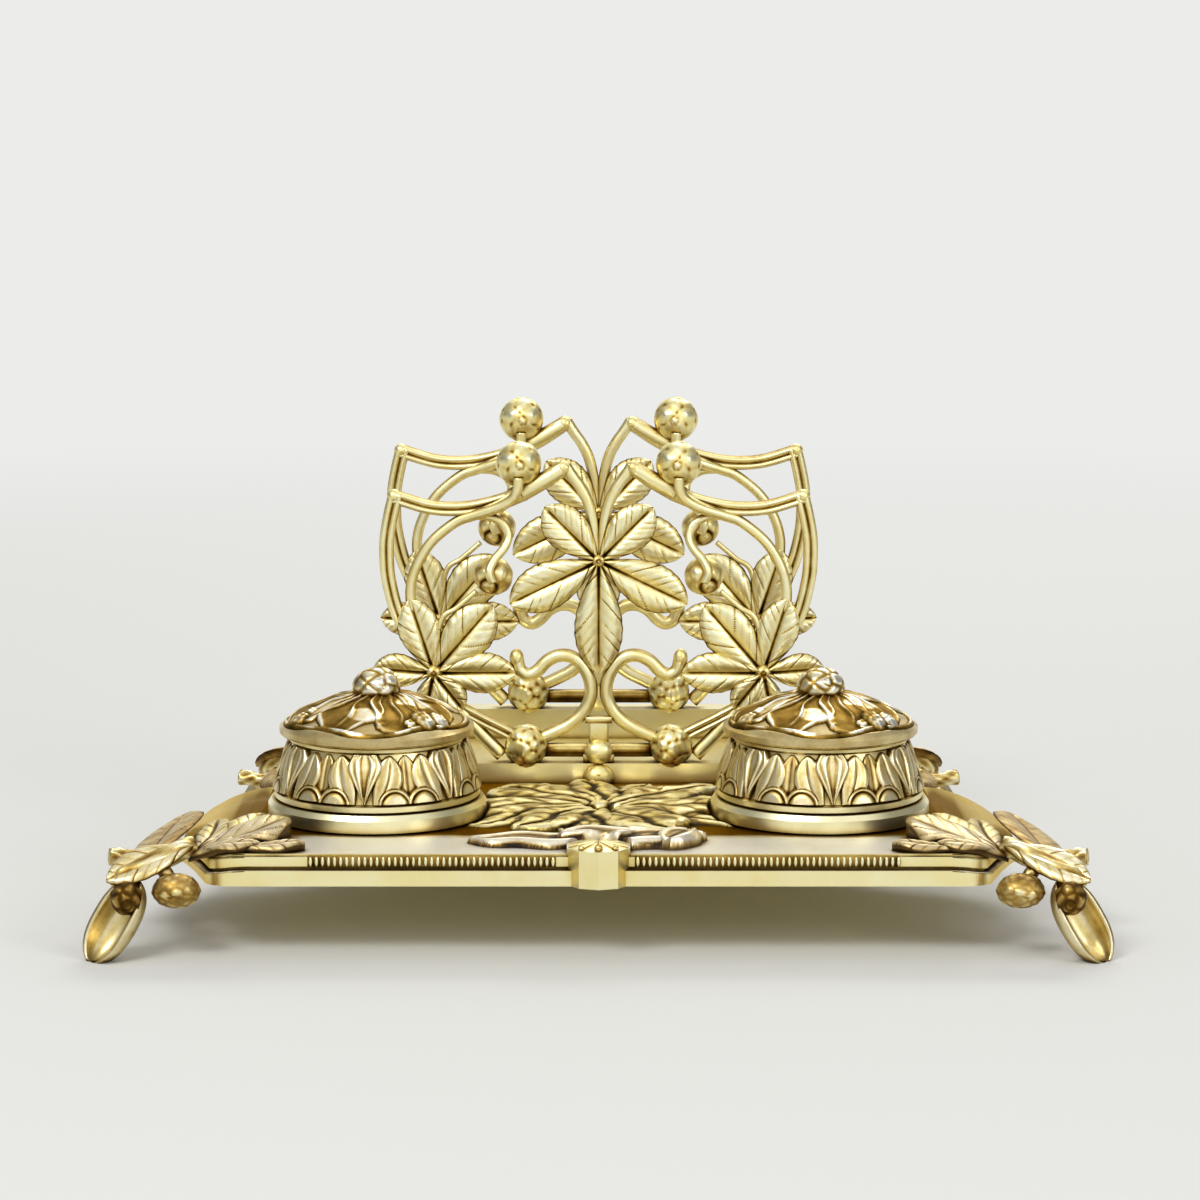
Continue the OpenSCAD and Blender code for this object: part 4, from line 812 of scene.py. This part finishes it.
# Parts of one foot, moved from the drawing's corner to its own: the casting, and the leaves
# that lie on the tray. `spread` shrinks what reaches backwards
def footParts(o, corner, spread):
    cx, cy = corner
    shift = lambda points: [(x + cx, y + cy, z) for x, y, z in points]
    squeeze = lambda points: [(x, y * spread if y > 20 else y, z) for x, y, z in points]
    onTray = []
    for i, (_, _, _, length, width, _) in enumerate(o["leaflets"]):
        place = onTrayCorner(o, corner, spread, i)
        onTray.append(leafletPart(length * spread, width * spread, o["thick"], place, veins=6, bend=0.4,
                                  shade=0.82))
    length, width = o["leafBack"][4:6]
    at, along, face, frontLength, frontWidth = o["leafFront"]
    place = facing(shift([at])[0], along, face)
    top, tip, huskWidth, wall = o["husk"]
    casting = [
        # The leaf that hangs outwards is painted darker, as it lies in shade
        leafletPart(length * spread, width * spread, o["thick"], besideFoot(o, corner), shade=0.62),
        twigPart(shift(o["twig"]), 3.6, 3.3, 0.07, 28),
        leafletPart(frontLength, frontWidth, o["thick"], place, veins=7, bend=0.3),
        twigPart(shift(squeeze(o["branch"])), 1.7, 1.9),
        twigPart(shift(squeeze(o["stub"])), 2.1, 2.9, 0.08),
        twigPart(shift(o["stalk"]), 2.2, 2.6),
        huskPart(*shift([top, tip]), huskWidth, wall),
        burrPart(*shift([o["nut"]]), 5.8, (-0.15, -1, -0.25), (1, 1, 1.1), facets=24, pip=0.2,
                 shade=(0.08, 0.6), deep=0.12),
        burrPart(*shift([o["burr"]]), 6.1, (0.2, -1, -0.1), (1.38, 1.02, 1.0), facets=64, pip=0.08,
                 shade=(0.4, 0.84))]
    return casting, onTray


# The same parts mirrored in y
def flipped(parts):
    return [(v * [1, -1, 1], q[:, ::-1], t[:, ::-1], w) for v, q, t, w in parts]


frontFoot = footParts(foot, foot["front"], 1)
rearFoot = [flipped(parts) for parts in footParts(foot, foot["rear"], foot["spread"])]
for ends, (casting, leaves) in {"front": frontFoot, "rear": rearFoot}.items():
    for handed, turned in {"right": list, "left": mirrored}.items():
        footName = "foot_" + ends + "_" + handed
        pieceFrom("casting_" + footName, turned(casting), footBrass, replaces=[footName])
        pieceFrom("cornerLeaf_" + ends + "_" + handed, turned(leaves), leafBrass)
print("feet done")


# The tray's leaf: a palmate leaf in relief between the wells, and a folded one before it
trayLeaf = dict(low=(-52, -90), high=(52, 25), rise=3.0, bud=(0.5, -19.5, 4.2), wellEdge=38.2,
                bossAt=(0, -89.5), bossEdge=10.5,
                under=[(0, -16, 66, 43, 21), (-1, -17, 117, 42, 20), (2, -20, 13, 46, 21),
                       (-3, -20, 165, 45, 22), (3, -24, -32, 50, 20), (-3, -24, 210, 49, 21),
                       (0, -26, 281, 38, 19), (-2, -26, 254, 38, 18)],
                over=[(0, -15, 92, 39, 21), (2, -18, 37, 46, 24), (-2, -17, 141, 47, 23),
                      (4, -21, -9, 48, 24), (-4, -21, 187, 49, 24), (2, -25, -56, 44, 24),
                      (-2, -25, 233, 44, 23)],
                fold=[(4, -80, 175, 48, 16, 0.2), (-8, -84, 15, 46, 19, 0.8), (-14, -77, 6, 27, 12, 2.2),
                      (22, -86, 62, 19, 15, 2.0)])


# Relief on a flat: top grid at z + height, a little sunk where there is none, flat beneath.
# The grid is bent by sines first, so that no vein runs straight. The upper leaflets lie over
# the lower ones, a bud 3.4 (1 - (d / r)^2)^0.5 high sits where they meet, and the folded leaf
# lies in front; all of it stops at the wells, the boss and the sheet's back edge
def traySheet(o, z, cell=0.5):
    xs = np.arange(o["low"][0], o["high"][0], cell)[:, None]
    ys = np.arange(o["low"][1], o["high"][1], cell)[None, :]
    x, y = xs + 0 * ys, ys + 0 * xs
    wx = x + 1.2 * np.sin(0.33 * y + 1) + 2 * np.sin(0.11 * y + 0.09 * x)
    wy = y + 1.2 * np.sin(0.3 * x) + 2.4 * np.sin(0.1 * x + 0.5)
    leaflets = [(*l, -1.2) for l in o["under"]] + [(*l, 0.5 * (i % 2)) for i, l in enumerate(o["over"])]
    height, wearAndShade = leafField(wx, wy, leaflets, o["rise"], veins=5, fine=0.5, broad=1.1, depth=0.05)
    height = height + 0.25 * ease(0.2, 0.8, height) * np.sin(0.5 * x + 1.6 * np.sin(0.4 * y)) * np.sin(0.5 * y)
    height = height * ease(-66, -62, y + 2 * np.sin(0.35 * x))
    budX, budY, budR = o["bud"]
    bud = 3.4 * np.clip(1 - ((x - budX) ** 2 + (y - budY) ** 2) / budR ** 2, 0, 1) ** 0.5
    height = np.maximum(height, bud)
    wearAndShade = 0.46 + 0.55 * (wearAndShade - 0.75)
    fold, foldWearAndShade = leafField(x, y + 1.2 * np.sin(0.3 * x), o["fold"], 3.0, broad=1.1, depth=0, fan=3)
    wearAndShade = np.where(fold > height, 0.5 + 0.9 * (foldWearAndShade - 0.75), wearAndShade)
    height = np.maximum(height, fold)
    # Painted shade: darker where the relief lies lower than its neighbours
    wearAndShade = np.where(height > 0.3, wearAndShade - 1.5 * recess(height, 3), 0.1)
    apart = np.hypot(np.abs(x) - well["x"], y - well["y"]) - o["wellEdge"]
    height = height * ease(0, 1, apart) * ease(o["high"][1], o["high"][1] - 1.5, y)
    fromBoss = np.hypot(x - o["bossAt"][0], y - o["bossAt"][1])
    height = height * ease(o["bossEdge"], o["bossEdge"] + 1, fromBoss)
    top = np.stack([x, y, z + height - 0.12], -1)
    under = np.stack([x[:, ::-1], y[:, ::-1], np.full_like(x, z - 0.5)], -1)[:, ::20]
    wearAndShade = np.concatenate([np.clip(wearAndShade, 0, 1), 0 * wearAndShade[:, ::20]], 1)
    return capped(np.concatenate([top, under], 1), wearAndShade)


pieceFrom("trayLeaf", [traySheet(trayLeaf, topZ)], leafBrass, replaces=["tray_leaf"])


# Smooth skin over the tray's falling ends: the tray's own top faces beyond dropStart, raised
# by a few hundredths and drawn down 0.3 mm to close them
def traySkin():
    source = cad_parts["tray"]
    bm = bmesh.new()
    bm.from_mesh(source.data)
    bm.transform(source.matrix_world)
    bmesh.ops.remove_doubles(bm, verts=bm.verts, dist=1e-6)
    kept = [f.normal.z > 0.78 and abs(f.calc_center_median().x) > (dropStart - 0.5) * mm
            and f.calc_center_median().z > (topZ - dropDepth - 1) * mm for f in bm.faces]
    bmesh.ops.delete(bm, geom=[f for f, k in zip(bm.faces[:], kept) if not k], context="FACES")
    bmesh.ops.triangulate(bm, faces=bm.faces)
    raised = bmesh.ops.extrude_face_region(bm, geom=bm.faces[:], use_keep_orig=True)["geom"]
    raised = {v for v in raised if isinstance(v, bmesh.types.BMVert)}
    for v in bm.verts:
        v.co.z += 0.04 * mm if v in raised else -0.3 * mm
    bmesh.ops.triangulate(bm, faces=bm.faces)
    bm.verts.index_update()
    verts = np.array([v.co for v in bm.verts]) / mm
    tris = np.array([[v.index for v in f.verts] for f in bm.faces])
    bm.free()
    order = np.lexsort(np.round(verts, 4).T)  # the same order on every run
    tris = np.argsort(order)[tris]
    first = tris.argmin(1)[:, None]
    tris = np.take_along_axis(tris, (first + np.arange(3)) % 3, 1)
    return verts[order], np.zeros((0, 4), int), tris[np.lexsort(tris.T)], np.full(len(verts), 0.6)


skin = pieceFrom("traySkin", [traySkin()], trayBrass)
normals = np.zeros(len(skin.data.polygons) * 3)
skin.data.polygons.foreach_get("normal", normals)
skin.data.polygons.foreach_set("use_smooth", normals[2::3] > 0.5)  # the cut sides stay flat
gadroon = dict(pitch=2.0, r=0.7, y=-93.55, z=(30.3, 33.6), spans=[(-95, -13), (13, 100)])


# Row of small upright ribs over a strip: each a half round of six points, its radius
# r sin(pi u)^0.5 from end to end
def gadroonParts(o):
    parts = []
    a = np.radians(np.linspace(180, 360, 6))
    ups = np.linspace(0, 1, 6)
    for x0, x1 in o["spans"]:
        parts.append(railPart(x0 - 1, x1 - 1, -93.6, -93.0, 30.3, 33.7, 0.1, 0.62))
        for x in np.arange(x0, x1, o["pitch"]):
            swell = o["r"] * np.sin(np.pi * np.clip(ups, 0.08, 0.92)) ** 0.5
            z = o["z"][0] + (o["z"][1] - o["z"][0]) * ups
            rings = np.stack([x + swell[:, None] * np.cos(a), o["y"] + swell[:, None] * np.sin(a) * 1.1,
                              z[:, None] + 0 * a], -1)
            parts.append(capped(rings, np.tile(0.56 + 0.36 * np.abs(np.sin(a)), (6, 1))))
    return parts


pieceFrom("trayGadroons", gadroonParts(gadroon), castBrass)
boss = dict(x=0, y=-89.5, z=36.5, r=10.3, rise=1.5, sides=10,
            pips=[((0, -97.6, 37.4), 1.5), ((-5.6, -96.2, 37), 1.1), ((5.6, -96.2, 37), 1.1)])
dome = dict(centre=(0, 27, 36.2), r=5.6, face=(0, -1, 0.3), squash=(1, 0.7, 0.9), facets=8, pip=0.05,
            shade=(0.7, 0.85), deep=0.02)


# Fluted top of the boss: z + rise (1 - (r / R)^2) (0.7 + 0.3 |cos(n a / 2)|), flat beneath
def bossPart(o):
    a = np.linspace(0, 2 * np.pi, 120, endpoint=False)[:, None]
    r = np.linspace(0.4, o["r"], 20)[None, :]
    flute = 0.7 + 0.3 * np.abs(np.cos(o["sides"] * a / 2))
    top = o["rise"] * (1 - (r / o["r"]) ** 2) * flute
    edge = r * (1 - 0.05 * (1 - flute) * (r / o["r"]) ** 3)
    rings = np.concatenate([turnedRings(o["x"], o["y"], edge, a, o["z"] + top),
                            turnedRings(o["x"], o["y"], edge[:, ::-1], a, o["z"] - 0.4 + 0 * top)], 1)
    wearAndShade = np.concatenate([0.3 + 2 * (flute - 0.7) + 0 * r, 0 * top], 1)
    return looped(rings, np.clip(wearAndShade, 0, 1))


pips = [burrPart(centre, r, facets=12, rows=12, around=18) for centre, r in boss["pips"]]
pieceFrom("trayBoss", [bossPart(boss)] + pips, castBrass)
pieceFrom("rackBaseDome", [burrPart(**dome)], castBrass)
print("tray done")


# The studio: a pale floor, three soft lamps (place, target, size in metres, watts) and the
# camera, its lens in millimetres and its tilt in degrees below level
stage = dict(size=8.0, floor="#dcdcd8", back="#ecedea", near=0.45, far=1.6)
lamps = dict(keyLight=((-0.8, -1.3, 1.6), (0, 0, 0.05), (0.8, 0.6), 17.5),
             fillLight=((1.3, -1.2, 0.9), (0, 0, 0.06), (0.6, 0.8), 6.6),
             backLight=((0.3, 1.2, 1.3), (0, 0, 0.08), (1.2, 0.5), 8.6))
view = dict(lens=111.5, sensor=36, place=(0.0005, -1.2929, 0.29875), tilt=8.51, near=0.05, far=50)


# Square floor whose paper passes into the backdrop's own tone between near and far metres
# from the middle, by 3t^2 - 2t^3
def paleFloor(o):
    mesh = bpy.data.meshes.new("floor")
    h = o["size"]
    mesh.from_pydata([(-h, -h, 0), (h, -h, 0), (h, h, 0), (-h, h, 0)], [], [(0, 1, 2, 3)])
    floor = bpy.data.objects.new("floor", mesh)
    bpy.context.scene.collection.objects.link(floor)
    material, tree = emptyMaterial("pale_paper")
    place = addNode(tree, "TexCoord").outputs["Object"]
    way = addNode(tree, "VectorMath", {"operation": "LENGTH"}, _0=place).outputs["Value"]
    smooth = {"interpolation_type": "SMOOTHSTEP"}
    away = addNode(tree, "MapRange", smooth, _0=way, _1=o["near"], _2=o["far"]).outputs[0]
    paper = addNode(tree, "BsdfDiffuse", Color=colour(o["floor"])).outputs[0]
    glow = addNode(tree, "Emission", Color=colour(o["back"]), Strength=1.0).outputs[0]
    mixed = addNode(tree, "MixShader", _0=away, _1=paper, _2=glow).outputs[0]
    addNode(tree, "OutputMaterial", Surface=mixed)
    mesh.materials.append(material)


# Area lamp turned to its target: tilted by acos(-z / length) of the way there, then turned
# by its compass direction
def softLight(name, place, target, size, watts):
    data = bpy.data.lights.new(name, "AREA")
    data.shape, data.size, data.size_y = "RECTANGLE", size[0], size[1]
    data.energy = watts
    lamp = bpy.data.objects.new(name, data)
    lamp.location = place
    bpy.context.scene.collection.objects.link(lamp)
    ahead = np.asarray(target, float) - np.asarray(place, float)
    tilt = math.acos(-ahead[2] / np.linalg.norm(ahead))
    lamp.rotation_euler = (tilt, 0, math.atan2(ahead[0], -ahead[1]) + math.pi)


# The room: pale to the eye and through glass; what metal mirrors is paler in front, behind
# and overhead than at the sides, with soft patches like windows and curtains
def paleWorld(o):
    world = bpy.data.worlds.new("studio")
    bpy.context.scene.world = world
    world.use_nodes = True
    tree = world.node_tree
    tree.nodes.clear()
    way = addNode(tree, "TexCoord").outputs["Generated"]
    axes = addNode(tree, "SeparateXYZ", Vector=way)
    sideways = addNode(tree, "Math", {"operation": "ABSOLUTE"}, _0=axes.outputs["X"]).outputs[0]
    smooth = {"interpolation_type": "SMOOTHSTEP"}
    bright = addNode(tree, "MapRange", smooth, _0=sideways, _1=0.3, _2=0.92, _3=1.0, _4=0.24).outputs[0]
    cloud = addNode(tree, "TexNoise", Vector=way, Scale=2.6, Detail=2.0).outputs[0]
    cloud = addNode(tree, "MapRange", _0=cloud, _1=0.38, _2=0.6, _3=0.42, _4=1.2).outputs[0]
    bright = addNode(tree, "Math", {"operation": "MULTIPLY"}, _0=bright, _1=cloud).outputs[0]
    path = addNode(tree, "LightPath")
    seen = addNode(tree, "Math", {"operation": "MAXIMUM"}, _0=path.outputs["Is Camera Ray"],
                   _1=path.outputs["Is Transmission Ray"]).outputs[0]
    glossy = path.outputs["Is Glossy Ray"]
    room = addNode(tree, "MixRGB", Fac=glossy, Color1=(0.6, 0.6, 0.6, 1), Color2=bright).outputs[0]
    tone = addNode(tree, "MixRGB", Fac=seen, Color1=room, Color2=colour(o["back"])).outputs[0]
    back = addNode(tree, "Background", Color=tone, Strength=1.0)
    addNode(tree, "OutputWorld", Surface=back.outputs[0])


paleFloor(stage)
paleWorld(stage)
for lampName, lampRow in lamps.items():
    softLight(lampName, *lampRow)

camera = bpy.data.cameras.new("camera")
camera.lens, camera.sensor_width = view["lens"], view["sensor"]
camera.clip_start, camera.clip_end = view["near"], view["far"]
cameraObject = bpy.data.objects.new("camera", camera)
cameraObject.location = view["place"]
cameraObject.rotation_euler = (math.radians(90 - view["tilt"]), 0, 0)
bpy.context.scene.collection.objects.link(cameraObject)
bpy.context.scene.camera = cameraObject
bpy.context.scene.view_settings.view_transform = "Standard"
print("stage done")
